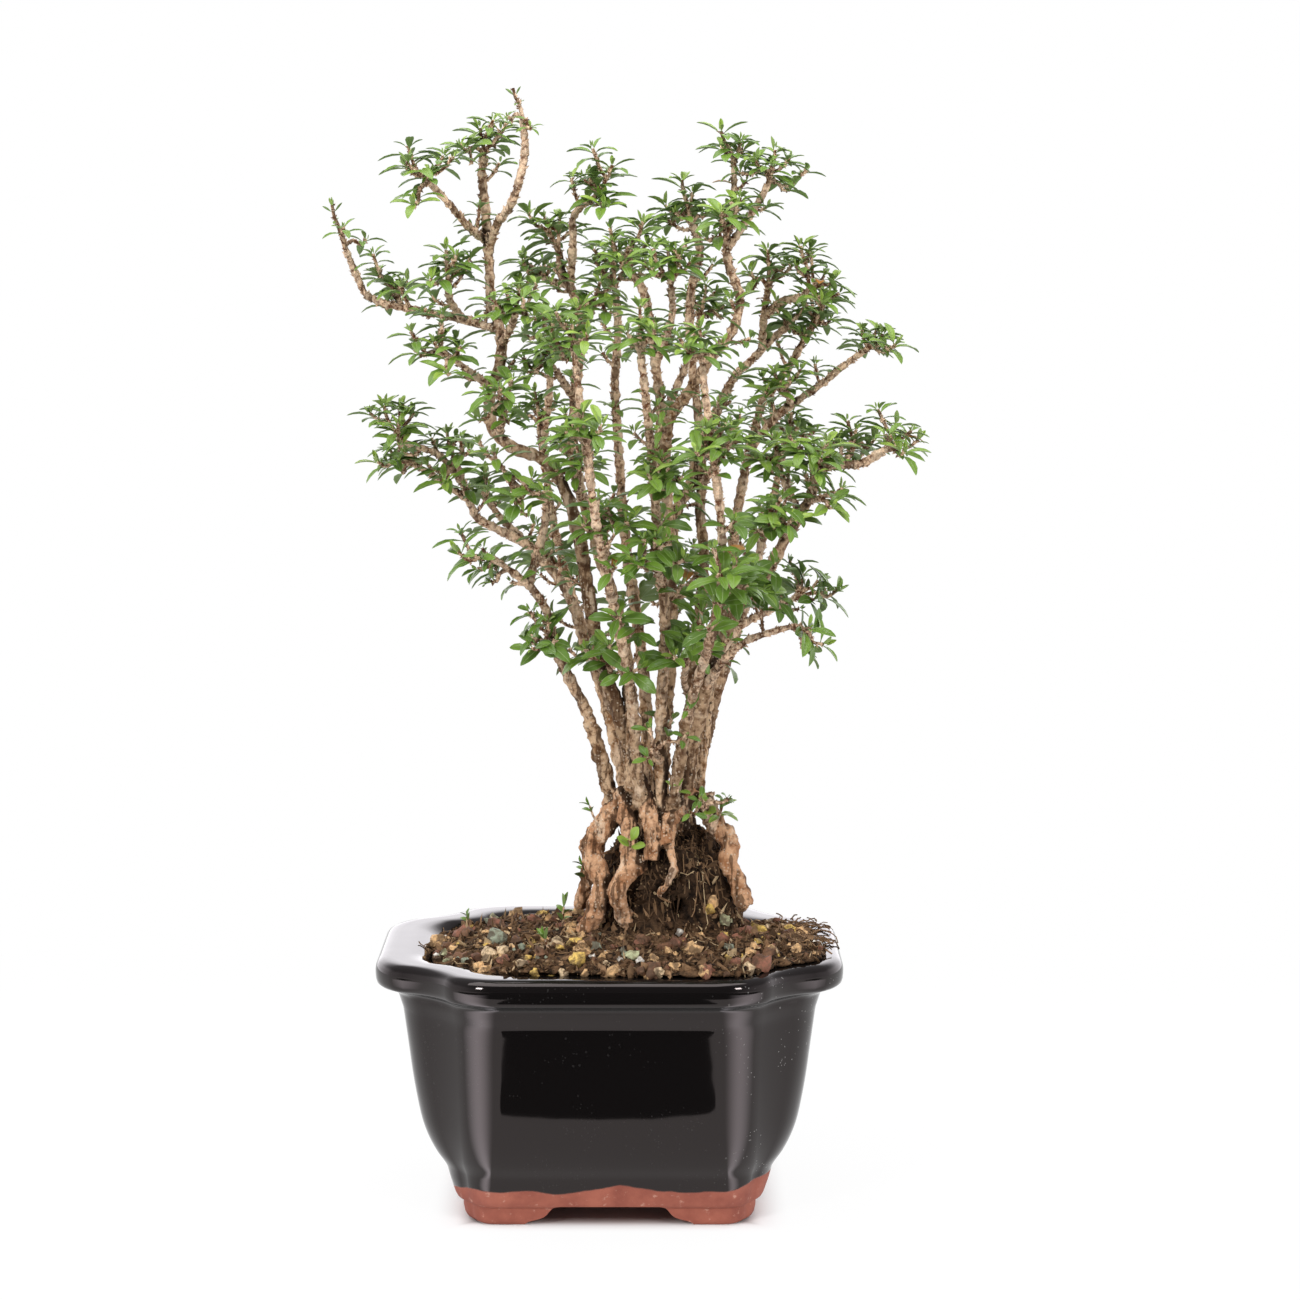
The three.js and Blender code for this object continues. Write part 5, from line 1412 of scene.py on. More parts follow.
def grow(piece, tree, **values):
    """Lets a tree of geometry nodes grow on a piece, and keeps the plain mesh."""
    modifier = piece.modifiers.new("growth", "NODES")
    modifier.node_group = tree
    for socket in tree.interface.items_tree:
        if socket.in_out == "INPUT" and socket.name.replace(" ", "_") in values:
            modifier[socket.identifier] = values[socket.name.replace(" ", "_")]
    freeze(piece)


# %% The growing tree
on_plan, given, out = new_growth(
    "grow_on_plan", [("Forms", "Collection"), ("Finish", "Material"), ("Twig Finish", "Material"),
                     ("Twig Sides", "Int")])
turned = node(on_plan, "FunctionNodeAxesToRotation", {"primary_axis": "Y", "secondary_axis": "Z"},
              Primary_Axis=named(on_plan, "aim", "FLOAT_VECTOR"),
              Secondary_Axis=named(on_plan, "top", "FLOAT_VECTOR"))
shapes = node(on_plan, "GeometryNodeInstanceOnPoints", Points=given["Geometry"],
              Selection=named(on_plan, "grows", "BOOLEAN"), Instance=forms_of(on_plan, given["Forms"]),
              Pick_Instance=True, Instance_Index=named(on_plan, "form", "INT"),
              Rotation=turned.outputs[0], Scale=named(on_plan, "size", "FLOAT")).outputs[0]
lines = node(on_plan, "GeometryNodeMeshToCurve", Mesh=given["Geometry"]).outputs[0]
round_section = node(on_plan, "GeometryNodeCurvePrimitiveCircle", Resolution=given["Twig Sides"],
                     Radius=1.0).outputs[0]
twigs = node(on_plan, "GeometryNodeCurveToMesh", Curve=lines, Profile_Curve=round_section,
             Scale=named(on_plan, "girth", "FLOAT"), Fill_Caps=True).outputs[0]
both = on_plan.nodes.new("GeometryNodeJoinGeometry")
put(on_plan, both.inputs[0], realized(on_plan, shapes, given["Finish"]))
put(on_plan, both.inputs[0], with_finish(on_plan, twigs, given["Twig Finish"]))
put(on_plan, out["Geometry"], both.outputs[0])
print("nodes of the growing tree:", len(on_plan.nodes))


# %% Plans
PLAN_SMOOTH = 60  # degrees between faces up to which an edge looks smooth


class Plan:
    """Points where shapes grow, and lines of twigs, that become one piece."""

    def __init__(self):
        self.shapes, self.twigs = [], []

    def shape(self, place, aim, top, size, form, shade):
        self.shapes.append((place, aim, top, size, form, shade))

    def twig(self, line, radii):
        self.twigs.append((line, radii))

    def piece(self, name, forms, finish, twig_finish=None, twig_sides=6):
        places = [shape[0] for shape in self.shapes]
        edges, girths = [], [0.0] * len(places)
        for line, radii in self.twigs:
            edges += [(len(places) + i, len(places) + i + 1) for i in range(len(line) - 1)]
            places = places + list(line)
            girths += [radius * MM for radius in radii]
        bare = len(places) - len(self.shapes)
        mesh = bpy.data.meshes.new(name)
        mesh.from_pydata([in_frame(place) for place in places], edges, [])
        for column, label in ((1, "aim"), (2, "top")):
            directions = [n for shape in self.shapes for n in shape[column]] + [0.0] * (3 * bare)
            keep(mesh, label, directions, "FLOAT_VECTOR", "vector")
        keep(mesh, "size", [shape[3] * MM for shape in self.shapes] + [0.0] * bare)
        keep(mesh, "girth", girths)
        keep(mesh, "form", [shape[4] for shape in self.shapes] + [0] * bare, "INT")
        keep(mesh, "shade", [shape[5] for shape in self.shapes] + [0.0] * bare)
        keep(mesh, "grows", [True] * len(self.shapes) + [False] * bare, "BOOLEAN")
        piece = new_object(name, mesh)
        grow(piece, on_plan, Forms=forms, Finish=finish, Twig_Finish=twig_finish or finish,
             Twig_Sides=twig_sides)
        for label in ("aim", "top", "size", "girth", "form", "grows"):
            kept_value = piece.data.attributes.get(label)
            if kept_value:
                piece.data.attributes.remove(kept_value)
        face_outwards(piece, PLAN_SMOOTH)
        return piece


def form_collection(name, makers):
    """A collection of small shapes, kept out of the picture."""
    collection = bpy.data.collections.new(name)
    bpy.context.scene.collection.children.link(collection)
    for number, (points, faces, uvs) in enumerate(makers):
        mesh = bpy.data.meshes.new(f"{name}_{number}")
        mesh.from_pydata(points, [], faces)
        if uvs:
            layer = mesh.uv_layers.new(name="UVMap")
            for polygon, corner_uvs in zip(mesh.polygons, uvs):
                for loop, uv in zip(polygon.loop_indices, corner_uvs):
                    layer.data[loop].uv = uv
        mesh.shade_smooth()
        form = bpy.data.objects.new(f"{name}_{number}", mesh)
        form.hide_render = True
        collection.objects.link(form)
    return collection


# %% [markdown]
# ## Leaves
# A serissa leaf is small and blunt, broadest beyond its middle, with an entire pale margin and a
# light midrib. Slim ones stand high in the crown. Old leaves arch outwards and down, and young ones
# at the tip are folded along the rib. A leaf form is made one unit long, as a thin closed blade:
# four strips on top, so that each half bulges a little, and two below. Its map runs from margin to
# margin and from stalk to tip, and turns negative on the underside, which the finish paints paler.

# %% Forms of a leaf
LEAF_STATIONS = [0, 0.10, 0.28, 0.52, 0.75, 0.92]
STALK_HALF, STALK_LENGTH = 0.022, 0.06
BROADEST, BLUNT = 1.12, 0.78  # exponents: move the broadest place outwards, round off the ends
RIB_DEPTH, RIB_SHARE = 0.016, 0.06  # below the blade, fixed and as a share of the half width
MARGIN_DROP, BULGE_AT, BULGE = 0.04, 0.55, 0.13  # of each half, as shares of its width
ARC_PIECES = 12
FIRST_SLOPE = 0.12
LEAF_FORMS = [  # full width, fold of each half, bend along the leaf, twist along the leaf
    (0.46, 0.08, 0.45, 0.10),
    (0.42, 0.14, 0.85, -0.20),
    (0.40, 0.20, 1.15, 0.16),
    (0.34, 0.38, 0.80, -0.08),
    (0.48, 0.75, -0.35, 0.10),
    (0.62, 0.10, 0.40, 0.05),
    (0.32, 0.14, 0.90, 0.12),
    (0.31, 0.18, 1.20, -0.14),
]
FLAT, ARCHED, DROOPING, FOLDED, YOUNG, ROUND, SLIM, SLIM_DROOPING = range(len(LEAF_FORMS))
SLIMMER = {FLAT: SLIM, ARCHED: SLIM, DROOPING: SLIM_DROOPING}  # instead, high in the crown


def leaf_form(width, fold, arch, twist):
    """Points, faces and map of a leaf one unit long that grows along +Y with its top towards +Z."""
    def middle(t):
        place = Vector((0, 0, 0))
        for k in range(ARC_PIECES):
            slope = FIRST_SLOPE - arch * t * (k + 0.5) / ARC_PIECES
            place += Vector((0, math.cos(slope), math.sin(slope))) * t / ARC_PIECES
        return place, FIRST_SLOPE - arch * t

    points, faces, uvs = [], [], []
    for t in LEAF_STATIONS:
        place, slope = middle(t)
        blade = max(0, (t - STALK_LENGTH) / (1 - STALK_LENGTH))
        half = max(STALK_HALF, width / 2 * math.sin(math.pi * blade ** BROADEST) ** BLUNT)
        twisting = Matrix.Rotation(twist * t, 3, Vector((0, math.cos(slope), math.sin(slope))))
        side = twisting @ Vector((1, 0, 0))
        up = twisting @ Vector((0, -math.sin(slope), math.cos(slope)))
        rise, reach = math.sin(fold) * half, math.cos(fold) * half
        edge, bulge = rise - MARGIN_DROP * half, BULGE_AT * rise + BULGE * half
        section = [(-reach, edge), (-BULGE_AT * reach, bulge), (0, 0), (BULGE_AT * reach, bulge),
                   (reach, edge), (0, -RIB_DEPTH - RIB_SHARE * half)]
        points += [place + side * x + up * z for x, z in section]
    tip = len(points)
    points.append(middle(1)[0])
    across = [0, 0.25, 0.5, 0.75, 1, 0.5]  # the map's place of each point in a section, the last below
    for level, t in enumerate(LEAF_STATIONS):
        start = 6 * level
        final = level == len(LEAF_STATIONS) - 1
        end_t = 1 if final else LEAF_STATIONS[level + 1]
        for first in range(6):
            second = (first + 1) % 6
            below = -1 if 5 in (first, second) else 1
            u, v = across[first], across[second]
            if final:
                faces.append((start + first, start + second, tip))
                uvs.append([(u, below * t), (v, below * t), (0.5, below * end_t)])
            else:
                faces.append((start + first, start + second, start + 6 + second, start + 6 + first))
                uvs.append([(u, below * t), (v, below * t), (v, below * end_t), (u, below * end_t)])
    faces.append((5, 4, 3, 2, 1, 0))
    uvs.append([(0.5, 0)] * 6)
    return points, faces, uvs


leaf_forms = form_collection("leaf", [leaf_form(*form) for form in LEAF_FORMS])

# %% Leaf finish
LEAF_TONES = [(0.0, (0.46, 0.19, 0.04)), (0.04, (0.40, 0.16, 0.035)), (0.10, (0.070, 0.135, 0.014)),
              (0.45, (0.102, 0.198, 0.020)), (0.75, (0.180, 0.305, 0.036)), (1.0, (0.32, 0.46, 0.066))]
VEINS = 62.0
TOP_ROUGHNESS, ROUGHER_BELOW = 0.31, 0.3
foliage, tree, shader = new_material("foliage", Specular_IOR_Level=0.42)
green = colour_scale(tree, kept_number(tree, "shade"), LEAF_TONES)
leaf_map = along_axes(tree, node(tree, "ShaderNodeUVMap", {"uv_map": "UVMap"}).outputs[0])
from_rib = off_from(tree, leaf_map["X"], 0.5)
rib = ramp(tree, from_rib, 0.018, 0.055, 1.0, 0.0)
below = calculate(tree, "LESS_THAN", leaf_map["Y"], 0.0)
tone = layered(tree, green, [
    (patches(tree, 170.0, 0.5, 0.2), 0.35, (0.060, 0.120, 0.018)),
    (rib, 0.5, (0.29, 0.38, 0.15)),
    (ramp(tree, from_rib, 0.462, 0.492), 0.45, (0.40, 0.46, 0.25)),  # margin
    (below, 0.5, (0.19, 0.27, 0.12)),
])
put(tree, shader.inputs["Base Color"], tone)
put(tree, shader.inputs["Roughness"],
    plus(tree, TOP_ROUGHNESS, times(tree, below, ROUGHER_BELOW)))
slanted = plus(tree, calculate(tree, "ABSOLUTE", leaf_map["Y"]), times(tree, from_rib, -0.5))
veins = calculate(tree, "SINE", times(tree, slanted, VEINS))
height = minus(tree, times(tree, veins, 0.12), rib)
add_bump(tree, shader, height, 0.35, 0.0003)

# %% [markdown]
# ## Leafy shoots
# Every branch ends in up to three short shoots. At the tip of a shoot the leaves stand in crossed
# pairs close together: tiny upright ones at the very end, then longer ones that open further and
# further, until the lowest arch out and down. Short side rosettes sit in old leaf axils down the
# branch. Each branch's leaves are one piece, which replaces the plain spray of the same name.

# %% Rosettes
WHORLS = [  # mm below the tip, opening in degrees, share of the full length, forms, shade
    (-0.4, 20, 0.22, (YOUNG,), 0.98),
    (0.2, 42, 0.42, (YOUNG, FOLDED), 0.86),
    (1.0, 54, 0.84, (FOLDED,), 0.70),
    (2.7, 61, 1.06, (FOLDED, DROOPING), 0.58),
    (5.4, 66, 1.06, (DROOPING, ARCHED), 0.48),
    (8.6, 72, 0.95, (ARCHED, FLAT), 0.36),
]
SPIKE_WHORLS = [(-0.4, 16, 0.20, (YOUNG,), 0.95), (0.4, 40, 0.28, (YOUNG,), 0.85),
                (2.2, 58, 0.36, (FOLDED, YOUNG), 0.6), (5.5, 66, 0.40, (FOLDED, ARCHED), 0.5)]
SPIKES = ("far_left", "tall_spike")  # branches whose first tip is a nearly bare spike
LEAF_LENGTH = 10.2
UPRIGHT = (0.7, 2.0)  # how strongly a low and a high rosette stands up, whatever way its twig runs
LEVEL_AIM = (-0.30, 0.12)  # low and high leaves that point lower than this are lifted halfway
FACING_OUT = (0.8, 0.15)  # how strongly low and high rosettes and leaves face away from the middle
LOW_CROWN, HIGH_CROWN = 165, 270
MISSING_LOW = 0.34  # share of the leaves that are gone from low rosettes
# painted light: leaves high in the crown are given a lighter shade
HIGH_PAINTED_LIGHT = 0.17
DEAD_SHARE = 0.012
DEAD_TONE = 0.01
OFF_TWIG = 0.4  # mm from the middle of the twig to the foot of a leaf
JITTER = {"pair": 0.25, "leaf": 0.18, "opening": 9, "rise": (-0.16, 0.10), "length": (0.84, 1.14),
          "tone": 0.08}
BOX_MARGIN = 0.4
low_corner, high_corner = from_frame(cad_box[0]), from_frame(cad_box[1])


def in_box(place):
    """Whether a place lies inside the plain model's box."""
    return all(low + BOX_MARGIN < n < high - BOX_MARGIN
               for low, n, high in zip(low_corner, place, high_corner))


def add_leaf(plan, place, aim, top, length, form, shade):
    """Adds a leaf, shorter where it would leave the box."""
    width, fold, arch, _ = LEAF_FORMS[form]
    side = aim.cross(top).normalized() * length * width / 2
    up = side.cross(aim).normalized()
    for _ in range(4):  # tip, middle and crest are about where the blade bends to
        tip = place + aim * length * (0.97 - arch * 0.12) - up * length * (0.42 * arch - 0.1)
        middle = place + aim * length * 0.5 + up * length * 0.08
        crest = middle + up * length * 0.12
        if all(in_box(spot) for spot in (tip, middle + side, middle - side, crest)):
            plan.shape(place, aim, top, length, form, shade)
            return
        length *= 0.8
        side *= 0.8


def turned_about(axis, across, angle):
    """A direction across an axis, turned about it."""
    return (Matrix.Rotation(angle, 3, axis) @ across).normalized()


def rosette(plan, rng, line, whorls, scale=1.0, shade_shift=0.0):
    """Whorls of leaves down from the end of a line."""
    ahead = headings(line)
    turn = rng.uniform(0, TAU)
    for below_tip, opening, share, forms, shade in whorls:
        left, i = below_tip * scale, len(line) - 1
        while i > 0 and left > (line[i] - line[i - 1]).length:
            left -= (line[i] - line[i - 1]).length
            i -= 1
        place = line[i] - ahead[i] * left
        high = ease(place.z, LOW_CROWN, HIGH_CROWN)
        upright, level_aim, facing_out = (
            low + (top - low) * high for low, top in (UPRIGHT, LEVEL_AIM, FACING_OUT))
        outside = Vector((place.x - CROWN_MIDDLE.x, place.y - CROWN_MIDDLE.y, 0)).normalized()
        axis = (ahead[i] + UP * upright + outside * facing_out).normalized()
        across = axis.orthogonal().normalized()
        turn += math.pi / 2 + rng.uniform(-JITTER["pair"], JITTER["pair"])
        for half_turn in (0, math.pi):
            swung = turn + half_turn + rng.uniform(-JITTER["leaf"], JITTER["leaf"])
            outward = turned_about(axis, across, swung)
            wide = math.radians(opening + rng.uniform(-JITTER["opening"], JITTER["opening"]))
            aim = axis * math.cos(wide) + outward * math.sin(wide)
            aim += UP * (max(0, level_aim - aim.z) / 2 + rng.uniform(*JITTER["rise"]))
            aim.normalize()
            top = axis * math.sin(wide) - outward * math.cos(wide)
            top = top + UP * 0.5 * high + outside * facing_out * 0.5
            length = LEAF_LENGTH * share * scale * rng.uniform(*JITTER["length"])
            tone = clamp(shade + shade_shift + rng.gauss(0, JITTER["tone"]), 0.12, 1.0)
            if shade < 0.45 and rng.random() < DEAD_SHARE:
                tone = DEAD_TONE
            form = rng.choice(forms)
            if high > rng.uniform(0.3, 0.8):
                form = SLIMMER.get(form, form)
                tone = min(tone + HIGH_PAINTED_LIGHT, 1) if tone > DEAD_TONE else tone
            if shade > 0.8 or rng.random() > MISSING_LOW * (1 - high):
                add_leaf(plan, place + outward * OFF_TWIG, aim, top, length, form, tone)


# %% Shoots of one branch
SHOOT_RADIUS = (0.8, 0.5)  # at its start and its tip
SIDE_WHORLS = [(-0.3, 22, 0.24, (YOUNG,), 0.9), (0.3, 48, 0.58, (FOLDED,), 0.7),
               (1.4, 60, 0.90, (FOLDED, DROOPING), 0.54), (3.4, 68, 0.98, (ARCHED, DROOPING), 0.42)]
SIDE_STEP = 9.0
SIDE_CHANCE, SPRIG_CHANCE = 0.56, 0.58
SIDE_LOWEST, SIDE_FULL = 148, 230  # heights between which side sprigs become common
SMALL_SHOOTS = {  # branches with smaller leaves, and their size as a share
    "foot_shoot": 0.5, "low_middle": 0.62, "tall_spike": 0.5, "far_left": 0.8}
SPUR_RADIUS = 0.55
SPRIG_SHARES = (0.35, 0.62)  # how far along a shoot its side sprigs stand
SPRIG_FOOT = 0.6  # radius of the shoot there
LEAF_SEED, LEAF_SEED_STEP = 7000, 31


def shoot_line(start, heading, tip):
    """A shoot that leaves its branch along the branch's heading and turns up at its tip."""
    reach = (tip - start).length
    elbow = start.lerp(tip, 0.45) + heading * reach * 0.12
    rise = ((tip - elbow).normalized() + UP * 0.45).normalized()
    neck = tip - rise * min(5, reach * 0.3)
    return smooth_line([start - heading * 1.5, start, elbow, neck, tip], 1.4)


def sprig(plan, rng, line, i, radius, reach):
    """A short side twig with a rosette, that leaves a line at one of its places."""
    ahead = headings(line)[i]
    turned = turned_about(ahead, ahead.orthogonal(), rng.uniform(0, TAU))
    outward = (turned + ahead * 0.3 + UP * 0.2).normalized()
    end = line[i] + outward * (radius + reach) + UP * reach * 0.35
    spur = smooth_line([line[i], line[i] + outward * (radius + reach * 0.4), end], 1.0)
    plan.twig(spur, [SPUR_RADIUS] * len(spur))
    rosette(plan, rng, spur, SIDE_WHORLS, rng.uniform(0.85, 1.1), -0.03)


def leafy_branch(number):
    """The plan of all leaves and shoots of one branch."""
    name, start_girth, end_girth, _, tips = STEMS[number]
    line = stem_lines[number]
    heading = headings(line)[-1]
    rng = random.Random(LEAF_SEED + LEAF_SEED_STEP * number)
    plan = Plan()
    for order, tip in enumerate(tips):
        shoot = shoot_line(line[-1], heading, drawn(*tip))
        radii = [SHOOT_RADIUS[0] + (SHOOT_RADIUS[1] - SHOOT_RADIUS[0]) * i / (len(shoot) - 1)
                 for i in range(len(shoot))]
        plan.twig(shoot, radii)
        if name in SPIKES and order == 0:
            rosette(plan, rng, shoot, SPIKE_WHORLS)
            continue
        small = SMALL_SHOOTS.get(name, 1.0)
        rosette(plan, rng, shoot, WHORLS if small == 1 else SIDE_WHORLS, small)
        if small < 1:
            continue
        for share in SPRIG_SHARES:
            if rng.random() < SPRIG_CHANCE:
                at = round(share * (len(shoot) - 1))
                sprig(plan, rng, shoot, at, SPRIG_FOOT, rng.uniform(4, 8))
    step = round(SIDE_STEP / LINE_STEP)
    for i in range(rng.randrange(3, step), len(line) - 2, step):
        chance_here = (line[i].z - SIDE_LOWEST) / (SIDE_FULL - SIDE_LOWEST)
        if name == "tall_spike" or rng.random() > min(chance_here, SIDE_CHANCE):
            continue
        radius = (start_girth + (end_girth - start_girth) * i / len(line)) / 2
        sprig(plan, rng, line, i, radius, rng.uniform(2, 8))
    return plan


# %% All leaves
leaf_count = 0
shoots = []
for number, (name, *_) in enumerate(STEMS):
    plan = leafy_branch(number)
    leaf_count += len(plan.shapes)
    shoots += plan.twigs
    piece = plan.piece(f"leaves_{name}", leaf_forms, foliage, bark)
    plain_spray = f"spray_{name}"
    finish_piece(piece, None, [plain_spray] if plain_spray in frame["nodes"] else [])
print("leaves:", leaf_count)

# %% [markdown]
# ## Leaf scars
# The twigs look rough because the foot of every fallen leaf stays on them as a small pointed
# scale. The scales are wedges of a few faces that grow on a plan as the leaves do: up to three at
# each step along every thin branch and shoot, pointing ahead and a little outwards.

# %% Scales on twigs
SCAR_STEP = 0.95
SCAR_SIZE = (0.85, 1.65)
THIN_ENOUGH, THINNING = 1.85, 0.7  # scars come below this radius in mm, and over this much of it
SCARS_AROUND, MOST_SCARS = 3, 0.7
scar_forms = form_collection("scar", [
    ([Vector(c) for c in ((-0.42, 0, -0.3), (0.42, 0, -0.3), (0.34, 0.1, 0.26), (-0.3, 0.05, 0.3), tip)],
     [(0, 1, 2, 3), (1, 0, 4), (2, 1, 4), (3, 2, 4), (0, 3, 4)], None)
    for tip in ((0.05, 0.95, 0.30), (-0.12, 0.75, 0.50), (0.1, 0.6, 0.15))])
rng = random.Random(19)
scars = Plan()
bare_branches = []
for line, (_, start, end, *_) in zip(stem_lines, STEMS):
    radii = [(start + (end - start) * i / (len(line) - 1)) / 2 for i in range(len(line))]
    bare_branches.append((line, radii))
for line, radii in shoots + bare_branches:
    ahead = headings(line)
    spacing = (line[1] - line[0]).length or 1
    every = max(1, round(SCAR_STEP / spacing))
    for i in range(1, len(line) - 1, every):
        thin = (THIN_ENOUGH - radii[i]) / THINNING
        for _ in range(SCARS_AROUND):
            if rng.random() > min(thin, MOST_SCARS):
                continue
            outward = turned_about(ahead[i], ahead[i].orthogonal(), rng.uniform(0, TAU))
            aim = (ahead[i] * rng.uniform(0.8, 1.4) + outward * rng.uniform(0.1, 0.75)).normalized()
            size = rng.uniform(*SCAR_SIZE) * min(1, 0.55 + radii[i] * 0.45)
            place = line[i].lerp(line[i + 1], rng.random()) + outward * radii[i] * 0.85
            scars.shape(place, aim, outward, size, rng.randrange(3), rng.random() ** 1.5)
finish_piece(scars.piece("leaf_scars", scar_forms, bark), None, ["wood"])

# %% [markdown]
# ## Soil
# The pot holds dark moist peat with grit and small mixed stones, heaped towards the roots. The
# heap keeps the plain model's form: its mesh is copied, a core of peat is added between the root
# legs up to the crown, and both are remeshed finely and given clods and crumbs by noise. Only what
# lies above the rim's inner edge is roughened, so that nothing pokes through the pot.

# %% Rough surface of the heap
SOIL_VOXEL = 1.0
OPEN_FROM, OPEN_FULL = 79.5, 83
CLODS = [(0.13, 1.0), (0.33, 0.75), (0.9, 0.42)]  # waves per mm and rise in mm
CORE_MIDDLE = Vector((18, 11, 0))
CORE = [  # height, half width and half depth
    (90, 23, 16), (98, 21.5, 15), (106, 19, 13), (113, 16.5, 11), (118, 14, 9), (121, 7, 5)]
CORE_SIDES = 24

core_rings = []
for height, half_width, half_depth in CORE:
    ring = []
    for k in range(CORE_SIDES):
        turn = TAU * k / CORE_SIDES
        off = Vector((half_width * math.cos(turn), half_depth * math.sin(turn), height))
        ring.append(CORE_MIDDLE + off)
    core_rings.append(ring)
core = Gathered()
core.add(*skin(core_rings))
core_piece = core.piece("core")
ground = new_object("fine_soil", frame["nodes"]["soil"].data.copy())
ground.data.materials.clear()
shape = bmesh.new()
shape.from_mesh(ground.data)
bmesh.ops.remove_doubles(shape, verts=shape.verts, dist=0.01 * MM)
shape.from_mesh(core_piece.data)
bpy.data.objects.remove(core_piece)
shape.to_mesh(ground.data)
shape.free()
add_one_skin(ground, SOIL_VOXEL)
freeze(ground)


def clods(place):
    """The rise of the soil at a place, none below the rim's inner edge."""
    open_share = clamp((place.z - OPEN_FROM) / (OPEN_FULL - OPEN_FROM))
    rise = sum(height * noise.noise(place * waves) for waves, height in CLODS)
    return open_share * (rise + 0.25 * abs(noise.noise(place * 1.6)))


press_relief(ground, clods, 1)
ground.data.shade_smooth()
view = bpy.context.evaluated_depsgraph_get()
view.update()
soil_tree = BVHTree.FromObject(ground, view)
wood_tree = BVHTree.FromObject(stump, view)
pot_tree = BVHTree.FromObject(pot, view)

# %% Soil finish
soil_finish, tree, shader = new_material("soil", Roughness=0.82, Specular_IOR_Level=0.15)
height = along_axes(tree, node(tree, "ShaderNodeTexCoord").outputs["Object"])["Z"]
peat = drifting(tree, (0.015, 0.008, 0.004), (0.150, 0.082, 0.041), 420.0, 0.52, 0.10)
peat = layered(tree, peat, [
    (patches(tree, 160.0, 0.6, 0.08), 0.6, (0.20, 0.115, 0.060)),  # fibrous
    (ramp(tree, height, 0.086, 0.096), 0.7, (0.012, 0.006, 0.003)),  # darker high on the mound
    (speckled(tree, 900.0, 0.3, 120.0, 0.5), 0.6, (0.36, 0.25, 0.14)),  # grit
])
put(tree, shader.inputs["Base Color"], peat)
add_bump(tree, shader, fine_relief(tree, 900.0, 2600.0, 0.6), 0.9, 0.0007)
finish_piece(ground, soil_finish, ["soil"])

# %% [markdown]
# ## What lies on the soil
# Stones, peat crumbs and chips cover the heap. The larger stones have places of their own, found
# by looking along the drawn view until the line of sight meets the soil. The rest is strewn by a
# second tree of geometry nodes that distributes points on the open soil, turns and sizes every
# shape by chance from a fixed seed, and keeps a shade for its colour.


# %% Looking along the drawn view
def seen_on(across, down, surfaces):
    """Where the line of sight through a drawn point first meets one of the surfaces, in mm."""
    start = in_frame(EYE)
    direction = (in_frame(drawn(across, down, 0)) - start).normalized()
    hits = [hit for hit in (surface.ray_cast(start, direction) for surface in surfaces) if hit[0]]
    if not hits:
        return None, None
    place, normal, _, _ = min(hits, key=lambda hit: hit[3])
    return from_frame(place), normal


# %% Stones and crumbs
def lumpy_ball(seed, stretch, roughness, divisions):
    """Points and faces of a lumpy ball about one unit across."""
    shape = bmesh.new()
    bmesh.ops.create_icosphere(shape, subdivisions=divisions, radius=0.5)
    for vertex in shape.verts:
        swell = 1 + roughness * noise.noise(vertex.co * 2.6 + Vector((seed * 7.3, seed * 3.1, 0)))
        vertex.co = Vector(n * s for n, s in zip(vertex.co * swell, stretch))
    shape.verts.index_update()
    points = [vertex.co.copy() for vertex in shape.verts]
    faces = [[vertex.index for vertex in face.verts] for face in shape.faces]
    shape.free()
    return points, faces, None


STRETCHES = [(1, 0.8, 0.7), (0.9, 0.9, 0.6), (1, 0.7, 0.75), (0.85, 1, 0.8), (1, 0.9, 0.85)]
CHIPS = [((1, 0.22, 0.10), 1.0), ((1, 0.35, 0.07), 1.2), ((1, 0.14, 0.12), 1.0)]
stone_forms = form_collection("stone", [lumpy_ball(n, s, 0.85, 2) for n, s in enumerate(STRETCHES)])
crumb_forms = form_collection("crumb", [lumpy_ball(n, s, 1.3, 1) for n, s in enumerate(STRETCHES, 9)])
chip_forms = form_collection(
    "chip", [lumpy_ball(n, s, rough, 1) for n, (s, rough) in enumerate(CHIPS, 20)])

# %% Stone finish
STONE_TONES = [  # where each tone starts on a scale of chance from 0 to 1, and its colour
    (0.00, (0.74, 0.50, 0.13)), (0.15, (0.74, 0.46, 0.22)), (0.38, (0.18, 0.085, 0.045)),
    (0.60, (0.26, 0.105, 0.064)), (0.77, (0.30, 0.34, 0.25)), (0.82, (0.72, 0.54, 0.33)),
    (0.94, (0.44, 0.46, 0.27)), (0.98, (0.80, 0.76, 0.68)),
]
OCHRE, TAN, BROWN, BRICK, SLATE, PALE, GREENISH, WHITISH = [at + 0.01 for at, _ in STONE_TONES]
stone_finish, tree, shader = new_material("stone", Roughness=0.7, Specular_IOR_Level=0.3)
tone = layered(tree, colour_scale(tree, kept_number(tree, "shade"), STONE_TONES, "CONSTANT"), [
    (patches(tree, 800.0, 0.53, 0.08), 0.55, (0.11, 0.065, 0.034)),
    (patches(tree, 260.0, 0.52, 0.05), 0.75, (0.060, 0.034, 0.018)),  # dirt
])
put(tree, shader.inputs["Base Color"], tone)
add_bump(tree, shader, fine_relief(tree, 1100.0, 3000.0, 0.5), 0.6, 0.0004)

